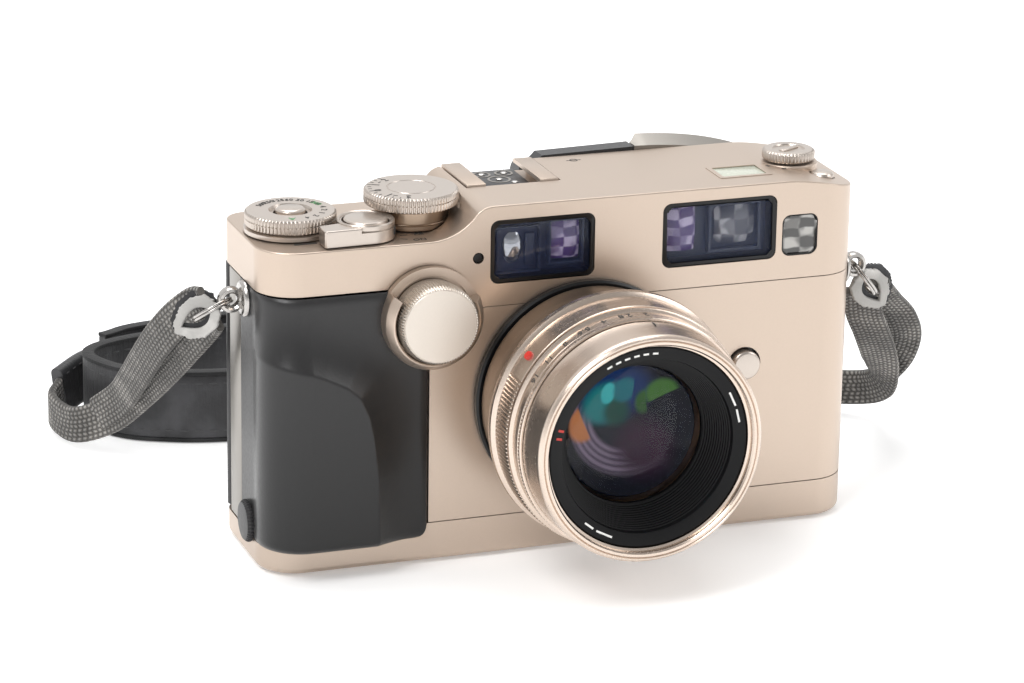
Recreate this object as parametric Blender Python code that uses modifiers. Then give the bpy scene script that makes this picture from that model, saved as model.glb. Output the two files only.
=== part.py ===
"""Autofocus rangefinder film camera with its lens and its neck strap.

The camera stands on its base at z = 0. X runs along its width, the lens points along -Y, and Z is up.
The origin is under the middle of the body. Lengths below are in millimetres, and MM turns them into metres.
"""
import math

import bmesh
import bpy
from mathutils import Matrix, Vector

MM = 0.001
GAP = 0.3

# Body
HALF_WIDTH = 68.7
FRONT = -16.0
BACK = 18.0
LOW_DECK = 73.2
HIGH_DECK = 80.0
UNDERSIDE = 0.6
SHELL = 1.7
CORNER_FRONT = 9.0
CORNER_BACK = 5.0
EDGE_ROUND = 2.2
GRIP_EDGE = -32.3
COVER_SEAM = 57.4
GRIP_TOP = 63.2
BASE_SEAM = 9.7
GRIP_BOTTOM = 6.6
DOOR_FRONT = 12.4
STRIP_FRONT = 3.2

# Lens: its axis, and distances in front of the origin
LENS_X = 3.65
LENS_Z = 36.4
THROAT_RADIUS = 22.6
SOCKET_Y = 6.5
LENS_TIP = 56.7

# Controls: centre (x, y), radius
SHUTTER_DIAL = (-58.0, 1.2, 9.9)
EXPOSURE_DIAL = (-31.4, -0.5, 10.3)
RELEASE = (-44.1, -8.2, 6.3)
DRIVE_DIAL = (57.6, 0.8, 5.9)
MODE_BUTTON = (62.2, -7.6, 2.6)
FOCUS_DIAL = (-32.4, 57.1, 11.1)
LENS_RELEASE = (41.4, 38.8, 3.6)

# Windows in the front: low x, high x, low z, high z
WINDOW_LEFT = (-18.5, 5.4, 62.6, 76.8)
WINDOW_RIGHT = (21.1, 48.0, 62.6, 77.2)
WINDOW_METER = (49.4, 57.9, 62.9, 72.3)

# Strap
LUG_LEFT = Vector((-HALF_WIDTH, -1.0, 59.6))
LUG_RIGHT = Vector((HALF_WIDTH, -5.0, 56.0))
RING_RADIUS = 4.6
EYE_REACH = 3.3
WEBBING_WIDTH = 10.0
BAND_WIDTH = 17.0

ROUND = 32
FINE = 40


def start_scene():
    for old in list(bpy.data.objects):
        bpy.data.objects.remove(old)
    for name in ("rangefinder_camera", "cutters"):
        bpy.context.scene.collection.children.link(bpy.data.collections.new(name))


def finish_of(name, colour, roughness, metallic=0.0):
    """The named material, made at its first use."""
    found = bpy.data.materials.get(name)
    if found:
        return found
    made = bpy.data.materials.new(name)
    made.use_nodes = True
    shader = made.node_tree.nodes["Principled BSDF"]
    shader.inputs["Base Color"].default_value = (*colour, 1.0)
    shader.inputs["Roughness"].default_value = roughness
    shader.inputs["Metallic"].default_value = metallic
    return made


def titanium():
    return finish_of("champagne_titanium", (0.72, 0.62, 0.52), 0.35, 1.0)


def bright_metal():
    return finish_of("bright_steel", (0.75, 0.73, 0.70), 0.2, 1.0)


def rubber():
    return finish_of("grip_rubber", (0.035, 0.035, 0.038), 0.55)


def black_metal():
    return finish_of("black_enamel", (0.02, 0.02, 0.02), 0.35)


def glass():
    return finish_of("coated_glass", (0.05, 0.06, 0.12), 0.05)


def plastic():
    return finish_of("dark_plastic", (0.03, 0.03, 0.03), 0.4)


def cast():
    return finish_of("cast_alloy", (0.3, 0.3, 0.3), 0.5, 1.0)


def webbing():
    return finish_of("grey_webbing", (0.12, 0.12, 0.11), 0.9)


def leather():
    return finish_of("black_leather", (0.02, 0.02, 0.02), 0.6)


def felt():
    return finish_of("worn_felt", (0.55, 0.54, 0.52), 0.95)


def add(name, mesh, material, helper=False):
    made = bpy.data.objects.new(name, mesh)
    mesh.materials.clear()
    if material:
        mesh.materials.append(material)
    group = "cutters" if helper else "rangefinder_camera"
    bpy.data.collections[group].objects.link(made)
    made.hide_render = helper
    made.display_type = "WIRE" if helper else "TEXTURED"
    return made


def smooth(obj):
    obj.data.shade_smooth()
    obj.data.set_sharp_from_angle(angle=math.radians(35))
    return obj


def apply_modifiers(obj):
    """Turns what the modifiers make into the object's own mesh."""
    graph = bpy.context.evaluated_depsgraph_get()
    mesh = bpy.data.meshes.new_from_object(obj.evaluated_get(graph))
    obj.modifiers.clear()
    obj.data = mesh
    return obj


def box(name, low, high, material=None, helper=False, rounding=0.0):
    """A box between two corners, its edges rounded if asked."""
    low, high = Vector(low), Vector(high)
    shape = bmesh.new()
    bmesh.ops.create_cube(shape, size=1.0)
    bmesh.ops.scale(shape, vec=(high - low) * MM, verts=shape.verts)
    mesh = bpy.data.meshes.new(name)
    shape.to_mesh(mesh)
    shape.free()
    made = add(name, mesh, material, helper)
    made.location = (low + high) * 0.5 * MM
    if rounding:
        bevel = made.modifiers.new("rounded", "BEVEL")
        bevel.width = rounding * MM
        bevel.segments = 2
    return made


def turned(name, profile, place, material=None, facing="up", steps=ROUND, helper=False):
    """A turned piece. The profile's (radius, height) points run from its top down the outer side.
    A profile that leaves the axis open at both ends is closed into a ring."""
    mesh = bpy.data.meshes.new(name)
    ring = min(radius for radius, _ in profile) > 0
    count = len(profile)
    edges = [(i, i + 1) for i in range(count - 1)]
    if ring:
        edges.append((count - 1, 0))
    mesh.from_pydata([(radius * MM, 0, height * MM) for radius, height in profile], edges, [])
    made = add(name, mesh, material, helper)
    screw = made.modifiers.new("turned", "SCREW")
    screw.steps = steps
    screw.render_steps = steps
    screw.use_merge_vertices = True
    screw.merge_threshold = 0.000001
    made.location = Vector(place) * MM
    turns = {"up": (0, 0, 0), "down": (math.pi, 0, 0), "front": (math.pi / 2, 0, 0)}
    turns.update({"right": (0, math.pi / 2, 0), "left": (0, -math.pi / 2, 0)})
    made.rotation_euler = turns[facing]
    return smooth(apply_modifiers(made))


def plate(name, outlines, thickness, place, material=None, facing="up", helper=False):
    """A flat outline with its holes, thickened about the place. Facing up it lies in XY, facing front in XZ."""
    curve = bpy.data.curves.new(name, "CURVE")
    curve.dimensions = "2D"
    curve.fill_mode = "BOTH"
    curve.extrude = thickness * MM / 2
    for outline in outlines:
        spline = curve.splines.new("POLY")
        spline.points.add(len(outline) - 1)
        for point, (u, v) in zip(spline.points, outline):
            point.co = (u * MM, v * MM, 0, 1)
        spline.use_cyclic_u = True
    flat = bpy.data.objects.new(name + "_outline", curve)
    bpy.context.scene.collection.objects.link(flat)
    graph = bpy.context.evaluated_depsgraph_get()
    mesh = bpy.data.meshes.new_from_object(flat.evaluated_get(graph))
    bpy.data.objects.remove(flat)
    shape = bmesh.new()
    shape.from_mesh(mesh)
    bmesh.ops.remove_doubles(shape, verts=shape.verts, dist=1e-6)
    bmesh.ops.dissolve_limit(shape, angle_limit=0.01, verts=shape.verts, edges=shape.edges)
    bmesh.ops.recalc_face_normals(shape, faces=shape.faces)
    shape.to_mesh(mesh)
    shape.free()
    made = add(name, mesh, material, helper)
    made.location = Vector(place) * MM
    if facing == "front":
        made.rotation_euler = (math.pi / 2, 0, 0)
    return made


def combine(obj, operation, others):
    for other in others:
        step = obj.modifiers.new(operation.lower(), "BOOLEAN")
        step.operation = operation
        step.solver = "EXACT"
        step.object = other
    return obj


def cut(obj, *cutters):
    return combine(obj, "DIFFERENCE", cutters)


def join(obj, *others):
    return combine(obj, "UNION", others)


def arc(centre, radius, start, end, count=6):
    """Points along a round stretch, angles in degrees."""
    points = []
    for i in range(count + 1):
        angle = math.radians(start + (end - start) * i / count)
        points.append((centre[0] + radius * math.cos(angle), centre[1] + radius * math.sin(angle)))
    return points


def bend(first, pull, last, count=5):
    """Points along a curve from first to last that is drawn towards the pull point."""
    points = []
    for i in range(count + 1):
        t = i / count
        weights = ((1 - t) ** 2, 2 * t * (1 - t), t**2)
        points.append(tuple(sum(w * p[k] for w, p in zip(weights, (first, pull, last))) for k in (0, 1)))
    return points


def rounded_rectangle(low_u, high_u, low_v, high_v, radius, count=4):
    corners = (
        ((high_u - radius, high_v - radius), 0),
        ((low_u + radius, high_v - radius), 90),
        ((low_u + radius, low_v + radius), 180),
        ((high_u - radius, low_v + radius), 270),
    )
    points = []
    for centre, start in corners:
        points += arc(centre, radius, start, start + 90, count)
    return points


def plan_outline(inset=0.0):
    """The body seen from above, drawn in from its outer face."""
    side = HALF_WIDTH - inset
    front_round = CORNER_FRONT - inset
    back_round = max(CORNER_BACK - inset, 1.0)
    low, high = FRONT + inset, BACK - inset
    points = arc((side - back_round, high - back_round), back_round, 0, 90, 4)
    points += arc((-side + back_round, high - back_round), back_round, 90, 180, 4)
    points += arc((-side + front_round, low + front_round), front_round, 180, 270)
    points += arc((side - front_round, low + front_round), front_round, 270, 360)
    return points


def deck_profile(floor):
    """The top cover seen from the front: a low deck, a rise, a high deck that falls at its right end."""
    points = [(-HALF_WIDTH - 1, floor), (HALF_WIDTH + 1, floor), (HALF_WIDTH + 1, 76.4)]
    points += bend((HALF_WIDTH, 76.6), (57.0, HIGH_DECK), (50.0, HIGH_DECK), 4)
    points += bend((-17.6, HIGH_DECK), (-20.2, 79.9), (-21.4, 78.6), 3)
    points += bend((-22.6, 77.2), (-26.6, LOW_DECK), (-32.0, LOW_DECK), 4)
    points.append((-HALF_WIDTH - 1, LOW_DECK))
    return points


def body_slice(name, low, high, inset=0.0, material=None, helper=False):
    middle = (low + high) / 2
    return plate(name, [plan_outline(inset)], high - low, (0, 0, middle), material, helper=helper)


def beyond(name, low, high):
    """A cutter box."""
    return box(name, low, high, helper=True)


def make_top_cover():
    cover = body_slice("top_cover", 45, 90, 0.0, titanium())
    combine(cover, "INTERSECT", [plate("deck_shape", [deck_profile(30)], 60, (0, 0, 0), facing="front", helper=True)])
    apply_modifiers(cover)
    bevel = cover.modifiers.new("edges", "BEVEL")
    bevel.width = EDGE_ROUND * MM
    bevel.segments = 3
    bevel.limit_method = "ANGLE"
    bevel.angle_limit = math.radians(50)
    wide = HALF_WIDTH + 20
    cut(
        cover,
        beyond("under_cover", (-wide, -40, 20), (wide, 40, COVER_SEAM + GAP)),
        beyond("over_grip", (-wide, -40, 20), (GRIP_EDGE, 40, GRIP_TOP + GAP)),
        beyond("over_door", (-wide, DOOR_FRONT, 20), (wide, 40, GRIP_TOP + GAP)),
        body_slice("cover_room", 20, LOW_DECK - SHELL, 2.4, helper=True),
        beyond("shoe_recess", (-18.8, -0.6, 76.4), (3.0, 40, 90)),
        beyond("display_pocket", (37.5, -9.3, 79.0), (49.0, -0.9, 90)),
    )
    for label, (low_x, high_x, low_z, high_z) in (
        ("left", WINDOW_LEFT),
        ("right", WINDOW_RIGHT),
        ("meter", WINDOW_METER),
    ):
        outline = rounded_rectangle(low_x, high_x, low_z, high_z, 1.8)
        cut(cover, plate("window_hole_" + label, [outline], 14, (0, FRONT, 0), facing="front", helper=True))
    x, y, radius = MODE_BUTTON
    hole = [(0, 90), (radius + GAP, 90), (radius + GAP, 75), (0, 75)]
    cut(cover, turned("mode_hole", hole, (x, y, 0), steps=16, helper=True))
    x, y, radius = DRIVE_DIAL
    boss = [(0, 80.0), (radius + 0.4, 79.9), (radius + 0.4, 76.5), (0, 76.5)]
    join(cover, turned("drive_boss", boss, (x, y, 0), steps=24, helper=True))
    x, y, radius = EXPOSURE_DIAL
    bay = [(0, 90), (radius + 0.5, 90), (radius + 0.5, 77.3), (8.6, 77.3), (8.6, LOW_DECK), (0, LOW_DECK)]
    cut(cover, turned("exposure_bay", bay, (x, y, 0), steps=ROUND, helper=True))


def make_front_cover():
    middle = (BASE_SEAM + COVER_SEAM) / 2
    cover = plate("front_cover", [plan_outline()], COVER_SEAM - BASE_SEAM - GAP, (0, 0, middle), titanium())
    inner = plate("front_room", [plan_outline(SHELL)], 80, (0, 0, middle), helper=True)
    throat = [(0, 30), (THROAT_RADIUS, 30), (THROAT_RADIUS, 8), (0, 8)]
    x, z, radius = LENS_RELEASE
    hole = [(0, 30), (radius + GAP, 30), (radius + GAP, 8), (0, 8)]
    cut(
        cover,
        inner,
        beyond("grip_side", (-90, -40, 0), (GRIP_EDGE + GAP, 40, 90)),
        beyond("door_side", (-90, DOOR_FRONT - GAP, 0), (90, 40, 90)),
        turned("throat", throat, (LENS_X, 0, LENS_Z), facing="front", steps=FINE, helper=True),
        turned("release_hole", hole, (x, 0, z), facing="front", steps=20, helper=True),
    )


def make_bottom_cover():
    cover = body_slice("bottom_cover", UNDERSIDE, 30, 0.0, titanium())
    bevel = cover.modifiers.new("edges", "BEVEL")
    bevel.width = 1.4 * MM
    bevel.segments = 2
    bevel.limit_method = "ANGLE"
    bevel.angle_limit = math.radians(50)
    join(cover, box("socket_pad", (-10, -4, 0), (17.3, 15, 1.2), helper=True))
    for i, (x, y) in enumerate(((-57, -9.6), (57, -9.6), (-57, 11), (57, 11))):
        pad = [(0, 1.2), (4.0, 1.2), (4.0, 0.0), (0, 0.0)]
        join(cover, turned(f"pad_{i}", pad, (x, y, 0), steps=16, helper=True))
    socket = [(0, 20), (6.0, 20), (6.0, -5), (0, -5)]
    lid = [(0, 20), (9.6, 20), (9.6, -5), (0, -5)]
    cut(
        cover,
        plate("base_room", [plan_outline(SHELL)], 40, (0, 0, UNDERSIDE + 1.6 + 20), helper=True),
        beyond("over_base", (-90, -40, BASE_SEAM - GAP), (90, 40, 60)),
        beyond("under_grip", (-90, -40, GRIP_BOTTOM - GAP), (GRIP_EDGE, 40, 60)),
        beyond("under_door", (-90, DOOR_FRONT - GAP, GRIP_BOTTOM - GAP), (90, 40, 60)),
        turned("socket_hole", socket, (LENS_X, SOCKET_Y, 0), steps=24, helper=True),
        turned("battery_hole", lid, (-44, 0, 0), steps=24, helper=True),
    )


def make_hand_grip():
    middle = (GRIP_TOP + GRIP_BOTTOM) / 2
    tall = GRIP_TOP - GRIP_BOTTOM
    grip = plate("hand_grip", [plan_outline()], tall, (0, 0, middle), rubber())
    skin = plate("grip_skin", [rounded_rectangle(-66.5, GRIP_EDGE - 0.3, GRIP_BOTTOM, GRIP_TOP, 3.5)], 3.4,
                 (0, FRONT - 0.2, 0), facing="front", helper=True)
    ridge = [(-62.6, GRIP_BOTTOM + 1), (-44.6, GRIP_BOTTOM + 1), (-44.9, 23.0)]
    ridge += bend((-46.0, 34.0), (-47.0, 42.0), (-52.0, 44.3), 4)
    ridge += bend((-56.0, 46.0), (-59.5, 48.6), (-62.6, 48.8), 3)
    lobe = plate("finger_lobe", [ridge], 8.0, (0, FRONT - 2.6, 0), facing="front", helper=True)
    bevel = lobe.modifiers.new("soft", "BEVEL")
    bevel.width = 2.6 * MM
    bevel.segments = 2
    bevel.limit_method = "ANGLE"
    bevel.angle_limit = math.radians(50)
    x, z, radius = FOCUS_DIAL
    clearance = [(0, 40), (radius + 0.5, 40), (radius + 0.5, -FRONT - 0.4), (0, -FRONT - 0.4)]
    join(grip, skin, lobe)
    cut(
        grip,
        plate("grip_room", [plan_outline(SHELL)], 90, (0, 0, middle), helper=True),
        beyond("cover_side", (GRIP_EDGE - GAP, -60, 0), (90, 40, 90)),
        beyond("strip_side", (-90, STRIP_FRONT - GAP, 0), (90, 40, 90)),
        turned("dial_room", clearance, (x, 0, z), facing="front", steps=24, helper=True),
    )


def make_side_plate():
    tall = GRIP_TOP - GRIP_BOTTOM
    strip = plate("side_plate", [plan_outline()], tall, (0, 0, (GRIP_TOP + GRIP_BOTTOM) / 2), titanium())
    cut(
        strip,
        plate("side_room", [plan_outline(SHELL)], 90, (0, 0, 40), helper=True),
        beyond("strip_front", (-90, -60, 0), (90, STRIP_FRONT, 90)),
        beyond("strip_back", (-90, DOOR_FRONT - 0.6, 0), (90, 60, 90)),
        beyond("strip_right", (-60, -60, 0), (90, 60, 90)),
    )


def make_chassis():
    body = box("chassis", (-50.5, -12.4, 10.4), (64.2, 11.6, 57.0), cast())
    throat = [(0, 30), (20.4, 30), (20.4, -5.0), (0, -5.0)]
    cut(
        body,
        turned("mirror_room", throat, (LENS_X, 0, LENS_Z), facing="front", steps=24, helper=True),
        beyond("shutter_room", (-24, 4.2, 14), (32, 9.0, 70)),
        beyond("film_gate", (LENS_X - 18, 4, LENS_Z - 12), (LENS_X + 18, 30, LENS_Z + 12)),
        beyond("cassette_room", (35.5, -11.0, 13), (62.8, 30, 54.5)),
        beyond("spool_room", (-48.5, -9.5, 13), (-27.5, 30, 54.5)),
    )


def make_rear_door():
    tall = GRIP_TOP - GRIP_BOTTOM - 2 * GAP
    middle = (GRIP_TOP + GRIP_BOTTOM) / 2
    outline = [(-62.8, 15.2), (68.4, 15.2), (68.4, 16.0)]
    outline += arc((66.4, 16.0), 2.0, 0, 90, 4)
    outline += [(-62.8, 18.0)]
    door = plate("rear_door", [outline], tall, (0, 0, middle), plastic())
    knuckle = [(0, 0.5 * tall), (2.2, 0.5 * tall), (2.2, -0.5 * tall), (0, -0.5 * tall)]
    thumb = box("thumb_pad", (-58, 17, 26), (-34, 20.2, 54), helper=True, rounding=2.4)
    web = box("hinge_web", (-66.2, 15.3, GRIP_BOTTOM + GAP), (-62, 17.4, GRIP_TOP - GAP), helper=True)
    join(door, turned("door_knuckle", knuckle, (-66.2, 15.4, middle), steps=16, helper=True), web, thumb)


def make_body_fittings():
    box("pressure_plate", (LENS_X - 27, 12.6, LENS_Z - 17), (LENS_X + 27, 13.6, LENS_Z + 17), black_metal())
    spring = box("plate_spring", (LENS_X - 12, 13.2, LENS_Z - 4), (LENS_X + 12, 14.9, LENS_Z + 4), helper=True)
    join(bpy.data.objects["pressure_plate"], spring)
    latch = box("door_latch", (HALF_WIDTH + GAP, 3.0, 27), (HALF_WIDTH + 1.6, 8.0, 37), black_metal(), rounding=0.4)
    latch.data.materials[0] = black_metal()
    cap = [(0, 1.7), (4.1, 1.7), (4.7, 1.2), (4.7, GAP), (0, GAP)]
    turned("cable_socket_cap", cap, (-HALF_WIDTH, -3.2, 9.6), rubber(), "left", 24)
    lid = [(0, 2.2), (9.3, 2.2), (9.3, UNDERSIDE), (0, UNDERSIDE)]
    cover = turned("battery_cover", lid, (-44, 0, 0), bright_metal(), steps=24)
    cut(cover, beyond("coin_slot", (-50, -0.8, -1), (-38, 0.8, 1.3)))
    bush = [(3.2, 8.5), (5.7, 8.5), (5.7, UNDERSIDE), (3.2, UNDERSIDE)]
    turned("tripod_socket", bush, (LENS_X, SOCKET_Y, 0), bright_metal(), steps=24)


def make_insides():
    box("shutter_unit", (-23, 4.5, 15), (31.5, 8.7, 56.5), black_metal())
    gate = beyond("shutter_gate", (LENS_X - 17.5, 0, LENS_Z - 11.5), (LENS_X + 17.5, 6.5, LENS_Z + 11.5))
    cut(bpy.data.objects["shutter_unit"], gate)
    spool = [(0, 53.5), (8.4, 53.5), (8.4, 52), (6.8, 51.5), (6.8, 16.5), (8.4, 16), (8.4, 14.5), (0, 14.5)]
    turned("take_up_spool", spool, (-38, 1.0, 0), plastic(), steps=20)
    fork = [(0, 54.2), (5.5, 54.2), (5.5, 52.6), (2.4, 52.2), (2.4, 46), (0, 46)]
    turned("rewind_fork", fork, (49.5, 0.5, 0), bright_metal(), steps=16)
    cell = [(0, 38.5), (3.0, 38.5), (3.0, 37.5), (7.4, 37.0), (7.4, 11), (0, 11)]
    turned("battery_cell", cell, (-59.2, -4.0, 0), bright_metal(), steps=20)


def lens_piece(name, profile, material, steps=FINE):
    return turned(name, profile, (LENS_X, 0, LENS_Z), material, "front", steps)


def make_lens():
    face = -FRONT + GAP
    lens_piece("mount_ring", [(26.5, 18.4), (26.9, 18.0), (26.9, face), (22.9, face), (22.9, 18.4)], black_metal())
    base = [(27.2, 31.8), (24.9, 24.0), (24.7, 18.7), (18.8, 18.7), (18.8, 11.0), (16.4, 11.0), (16.4, 31.8)]
    lens_piece("lens_base", base, titanium())
    grip = [(27.2, 41.7), (27.2, 34.7), (28.0, 34.3), (28.0, 32.5), (27.4, 32.1), (24.0, 32.1), (24.0, 41.7)]
    lens_piece("lens_grip_ring", grip, titanium())
    ring = [(26.2, 47.4), (26.2, 43.0), (26.8, 42.7), (26.8, 42.0), (24.0, 42.0), (24.0, 47.4)]
    lens_piece("aperture_ring", ring, titanium())
    barrel = [(23.0, LENS_TIP), (24.2, LENS_TIP), (25.1, 55.9), (25.1, 50.5), (25.6, 47.7), (23.7, 47.7)]
    barrel += [(23.7, 32.1), (22.4, 32.1), (22.4, 55.0), (23.0, 55.0)]
    lens_piece("front_barrel", barrel, titanium())
    name = [(19.2, 54.2), (22.1, 54.8), (22.1, 52.0), (20.5, 52.0), (17.2, 45.2), (15.4, 45.2), (15.4, 46.4)]
    lens_piece("name_ring", name, black_metal())
    dome = [(0, 48.6)] + [(15.1 * i / 5, 48.6 - 3.9 * (i / 5) ** 2) for i in range(1, 6)]
    lens_piece("front_element", dome + [(15.1, 41.5), (0, 41.5)], glass(), 32)
    lens_piece("iris_diaphragm", [(15.4, 38.6), (15.4, 37.4), (8.0, 37.4), (8.0, 38.6)], black_metal(), 24)
    lens_piece("rear_group", [(0, 36.4), (15.6, 36.4), (15.6, 14.0), (12.0, 12.0), (0, 12.8)], black_metal(), 24)


def window(side, spot):
    """A black frame with its pane, set into a hole of the top cover."""
    low_x, high_x, low_z, high_z = spot
    outer = rounded_rectangle(low_x + GAP, high_x - GAP, low_z + GAP, high_z - GAP, 1.6)
    inner = rounded_rectangle(low_x + 1.7, high_x - 1.7, low_z + 1.7, high_z - 1.7, 0.8)
    plate("window_frame_" + side, [outer, inner], 4.0, (0, FRONT + 2.1, 0), black_metal(), "front")
    pane = rounded_rectangle(low_x + 2.0, high_x - 2.0, low_z + 2.0, high_z - 2.0, 0.6)
    plate("window_glass_" + side, [pane], 1.0, (0, FRONT + 1.0, 0), glass(), "front")


def make_windows():
    window("left", WINDOW_LEFT)
    window("right", WINDOW_RIGHT)
    low_x, high_x, low_z, high_z = WINDOW_METER
    pane = rounded_rectangle(low_x + GAP, high_x - GAP, low_z + GAP, high_z - GAP, 1.5)
    plate("meter_window", [pane], 2.0, (0, FRONT + 1.2, 0), glass(), "front")
    box("rangefinder_module", (-16, -11.6, 60.2), (34.0, -9.6, 70.6), black_metal())
    box("finder_objective", (36.0, -11.6, 60.2), (45.0, 14.0, 70.6), glass())
    housing = [(3.6, 65.0), (54.5, 65.0), (55.5, 76.6)] + bend((54.0, 78.4), (44.0, 80.8), (30.0, 80.8), 4)
    housing += [(5.6, 80.8), (3.6, 79.0)]
    eyepiece = rounded_rectangle(9.0, 25.0, 67.5, 77.5, 2.0)
    plate("finder_housing", [housing, eyepiece], 4.6, (0, BACK + GAP + 2.3, 0), plastic(), "front")
    pane = rounded_rectangle(9.3, 24.7, 67.8, 77.2, 1.8)
    plate("eyepiece_glass", [pane], 1.2, (0, BACK + 1.5, 0), glass(), "front")
    wheel = [(0, 2.4), (4.0, 2.4), (4.0, 0), (0, 0)]
    turned("diopter_wheel", wheel, (0.6, BACK + 4.6, 74.5), rubber(), "right", 20)


def make_top_controls():
    x, y, radius = SHUTTER_DIAL
    deck = LOW_DECK + GAP
    dial = [(3.7, 77.9), (radius - 0.5, 77.9), (radius, 77.5), (radius, 74.9), (radius - 1, 74.6)]
    dial += [(radius + 0.2, 74.2), (radius + 0.2, deck), (3.7, deck)]
    turned("shutter_dial", dial, (x, y, 0), titanium())
    turned("dial_lock_button", [(0, 78.4), (3.0, 78.4), (3.3, 78.1), (3.3, 75.2), (0, 75.2)], (x, y, 0),
           titanium(), steps=20)
    x, y, radius = EXPOSURE_DIAL
    dial = [(0, 81.2), (radius - 0.5, 81.2), (radius, 80.8), (radius, 78.1), (radius - 0.5, 77.8), (0, 77.8)]
    turned("exposure_dial", dial, (x, y, 0), titanium())
    turned("bracket_ring", [(0, 77.5), (7.9, 77.5), (8.2, 77.2), (8.2, deck), (0, deck)], (x, y, 0),
           titanium())
    x, y, radius = RELEASE
    lever = plate("power_lever", [[(-10.9, -radius), (0, -radius)] + arc((0, 0), radius, -90, 188, 18)
                                  + [(-10.9, -1.6)]], 77.2 - deck, (x, y, (77.2 + deck) / 2), titanium())
    step = box("lever_step", (x - 3.6, y - 8, 76.0), (x + 8, y + 8, 80), helper=True)
    rim = [(0, 77.5), (radius - 0.5, 77.5), (radius, 77.1), (radius, 75.0), (0, 75.0)]
    well = [(0, 90), (5.2, 90), (5.2, 75.2), (0, 75.2)]
    cut(lever, step)
    join(lever, turned("lever_rim", rim, (x, y, 0), steps=28, helper=True))
    cut(lever, turned("button_well", well, (x, y, 0), steps=28, helper=True))
    turned("shutter_button", [(0, 77.7), (4.4, 78.0), (4.8, 77.7), (4.8, 76.6), (0, 76.6)], (x, y, 0),
           titanium(), steps=28)
    x, y, radius = DRIVE_DIAL
    dial = [(0, 82.6), (radius - 0.4, 82.6), (radius, 82.2), (radius, 80.5), (radius - 0.3, 80.3), (0, 80.3)]
    turned("drive_dial", dial, (x, y, 0), titanium(), steps=28)
    x, y, radius = MODE_BUTTON
    turned("mode_button", [(0, 79.2), (radius - 0.4, 79.2), (radius, 78.9), (radius, 76.8), (0, 76.8)], (x, y, 0),
           titanium(), steps=16)
    box("lcd_window", (37.8, -9.0, 79.3), (48.7, -1.2, 79.9), glass())


def make_accessory_shoe():
    shoe = box("accessory_shoe", (-18.4, -0.2, 76.7), (2.6, 17.8, 80.4), bright_metal())
    cut(
        shoe,
        beyond("shoe_slot", (-17.3, -2.0, 77.5), (1.5, 20.0, 79.5)),
        beyond("shoe_mouth", (-14.2, -2.0, 77.5), (-1.6, 20.0, 90)),
    )
    contacts = box("shoe_contacts", (-13.6, 1.0, 77.8), (-2.2, 16.5, 78.4), plastic())
    for i, (x, y) in enumerate(((-7.9, 9.0), (-10.5, 13.5), (-5.3, 13.5))):
        pin = [(0, 78.8), (1.2, 78.8), (1.2, 78.0), (0, 78.0)]
        join(contacts, turned(f"contact_pin_{i}", pin, (x, y, 0), steps=12, helper=True))


def make_front_controls():
    x, z, radius = FOCUS_DIAL
    face = -FRONT + GAP
    housing = [(0, 16.9), (8.9, 16.9), (9.2, 17.4), (radius - 1.2, 19.0), (radius - 0.2, 18.6), (radius, face)]
    housing.append((0, face))
    turned("focus_dial_housing", housing, (x, 0, z), titanium(), "front", 36)
    dial = [(0, 24.7), (8.2, 24.7), (8.5, 24.3), (8.8, 23.6), (8.8, 19.4), (8.4, 17.2), (0, 17.2)]
    turned("focus_dial", dial, (x, 0, z), titanium(), "front", 36)
    x, z, radius = LENS_RELEASE
    button = [(0, 17.9), (radius - 0.5, 17.9), (radius, 17.5), (radius, 14.6), (0, 14.6)]
    turned("lens_release_button", button, (x, 0, z), titanium(), "front", 24)


def route(stations, spacing):
    """Evenly spaced (point, across) pairs on a smooth curve through the stations (Catmull-Rom)."""
    rows = [(*place, *Vector(across).normalized()) for place, across in stations]
    first = [2 * a - b for a, b in zip(rows[0], rows[1])]
    last = [2 * a - b for a, b in zip(rows[-1], rows[-2])]
    rows = [first] + rows + [last]
    fine = []
    for before, a, b, after in zip(rows, rows[1:], rows[2:], rows[3:]):
        for i in range(24):
            t = i / 24
            fine.append([
                0.5 * (2 * q + (r - p) * t + (2 * p - 5 * q + 4 * r - s) * t**2 + (3 * q - p - 3 * r + s) * t**3)
                for p, q, r, s in zip(before, a, b, after)
            ])
    fine.append(list(rows[-2]))
    walked = [0.0]
    for a, b in zip(fine, fine[1:]):
        walked.append(walked[-1] + (Vector(b[:3]) - Vector(a[:3])).length)
    count = max(2, round(walked[-1] / spacing))
    even, i = [], 0
    for step in range(count + 1):
        goal = walked[-1] * step / count
        while i < len(fine) - 2 and walked[i + 1] < goal:
            i += 1
        share = (goal - walked[i]) / max(walked[i + 1] - walked[i], 1e-9)
        even.append([a + (b - a) * share for a, b in zip(fine[i], fine[i + 1])])
    return [(Vector(row[:3]), Vector(row[3:]).normalized()) for row in even]


def ribbon(name, stations, width, thickness, material, spacing=6.0):
    """A flat strap along a route, each station giving a point and the direction across the strap there."""
    shape = bmesh.new()
    rows = []
    for point, across in route(stations, spacing):
        half = across * width / 2
        rows.append([shape.verts.new((point + half) * MM), shape.verts.new((point - half) * MM)])
    for (a, b), (c, d) in zip(rows, rows[1:]):
        shape.faces.new((a, b, d, c))
    mesh = bpy.data.meshes.new(name)
    shape.to_mesh(mesh)
    shape.free()
    made = add(name, mesh, material)
    wall = made.modifiers.new("thickness", "SOLIDIFY")
    wall.thickness = thickness * MM
    wall.offset = 0
    wall.use_even_offset = True
    return made


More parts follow.
